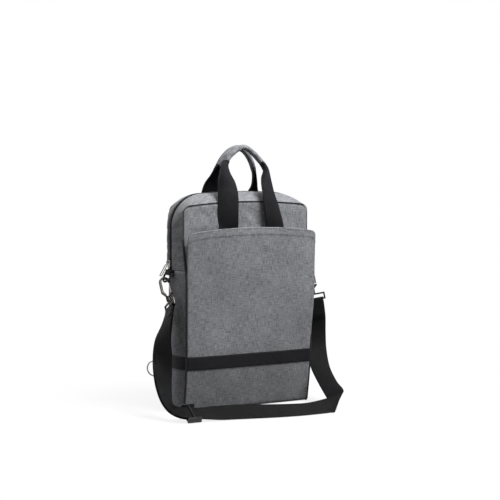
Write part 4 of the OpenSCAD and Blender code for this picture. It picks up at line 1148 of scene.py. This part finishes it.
# the lower tabs' tails run back into the rear seam
for name, side in (("left", -1), ("right", 1)):
    tail = np.array([[124.5, 41, 71], [129, 43.2, 71], [133.5, 44.6, 71], [138, 46.4, 71]]) * (side, 1, 1)
    tailRows = np.hstack([tail, np.broadcast_to([0, 0, 12.3], tail.shape)])
    tailObj, _ = ribbonMesh(name + "LowerTabTail", tailRows, 2.6, webbing, per=3)
    finish(tailObj, "bag", "webbing")

# stitches

seamStitch = {"long": 2.7, "pitch": 3.6, "thick": 0.55}


def stitchRow(name, path, lift, material, body, slotName):
    # Short capsules along a path, standing on the side that lift points to.
    far = along(path)
    count = max(1, int(far[-1] / seamStitch["pitch"]))
    at = (np.arange(count) + 0.5) * far[-1] / count
    centre = np.stack([np.interp(at, far, path[:, k]) for k in range(3)], 1)
    heading = unit(np.stack([np.interp(at, far, np.gradient(path[:, k])) for k in range(3)], 1))
    lift = np.broadcast_to(np.asarray(lift, float), path.shape)
    up = np.stack([np.interp(at, far, lift[:, k]) for k in range(3)], 1)
    up = unit(up - heading * (up * heading).sum(1, keepdims=True))
    sideways = np.cross(heading, up)
    half, r = seamStitch["long"] / 2, seamStitch["thick"] / 2
    rings = [(-half + r * 0.4, r * 0.6), (0, r), (half - r * 0.4, r * 0.6)]
    corner = [(l, w * np.cos(t), w * np.sin(t)) for l, w in rings for t in np.arange(5) * 2 * pi / 5]
    shape = np.array([(-half, 0, 0)] + corner + [(half, 0, 0)])
    shape[:, 2] += r * 0.4 - 1.2 * r * (np.abs(shape[:, 0]) / half) ** 2
    verts = (centre[:, None] + heading[:, None] * shape[None, :, :1]
             + sideways[:, None] * shape[None, :, 1:2] + up[:, None] * shape[None, :, 2:])
    ring = np.arange(5)
    after = (ring + 1) % 5
    sides = np.concatenate([np.stack([1 + k + ring, 1 + k + after, 6 + k + after, 6 + k + ring], 1)
                            for k in (0, 5)])
    tips = np.concatenate([np.stack([0 * ring, 1 + after, 1 + ring], 1),
                           np.stack([0 * ring + 16, 11 + ring, 11 + after], 1)])
    step = 17 * np.arange(count)[:, None, None]
    faces = (sides[None] + step).reshape(-1, 4).tolist() + (tips[None] + step).reshape(-1, 3).tolist()
    obj = finishMesh(name, verts.reshape(-1, 3), faces, np.zeros((sum(map(len, faces)), 2)), material)
    if body:
        finish(obj, body, slotName)
    return obj


hemU = np.linspace(-0.93, 0.93, 200)
for name, face in (("front", -1), ("back", 1)):
    hemTop = pocketTop(np.sin(pi / 2 * hemU) * (bag["halfW"] + 0.4))
    for row, drop in (("HemStitchLow", 14.5), ("HemStitchHigh", 2.5)):
        hem = pocketPoints(hemU, (hemTop - drop - 1) / (hemTop - 1), face, proud=0.1)
        stitchRow(name + row, hem, (0, face, 0), thread, "bag", "melange_fabric")
for edge, z in (("Low", band["low"] + 2), ("High", band["high"] - 2)):
    zRow = np.full(120, z)
    u = np.linspace(-0.98, 0.98, 120)
    row = pocketPoints(u, (zRow - 1) / (pocketTop(np.sin(pi / 2 * u) * (bag["halfW"] + 0.4)) - 1), -1,
                       proud=band["proud"] + 1.0)
    stitchRow("frontBandStitch" + edge, row, (0, -1, 0), blackThread, "bag", "webbing")
    for name, side in (("left", -1), ("right", 1)):
        row = sidePoints(zRow, np.linspace(0.05, 0.95, 120), side, proud=band["proud"] + 1.0)
        stitchRow(name + "BandStitch" + edge, row, (side, 0, 0), blackThread, "bag", "webbing")
rowT = np.linspace(0.005, 0.995, 600)
for name, face in (("front", -1), ("rear", 1)):
    row = stripPoints(rowT[:, None], np.array([[0.93, 0.94]]), face, proud=0.15, seed=3 if face < 0 else 11)
    lift = np.stack([*archPath(rowT, 1, 0.5, 1, 0.02, 0)], 1)
    zipSeam = stitchRow(name + "ZipStitch", row[:, 0], np.stack([lift[:, 0], 0 * rowT, lift[:, 1]], 1),
                        thread, None, None)
    if face < 0:
        overMouth(zipSeam, "melange_fabric")
    else:
        finish(zipSeam, "bag", "melange_fabric")
print("stitches made")
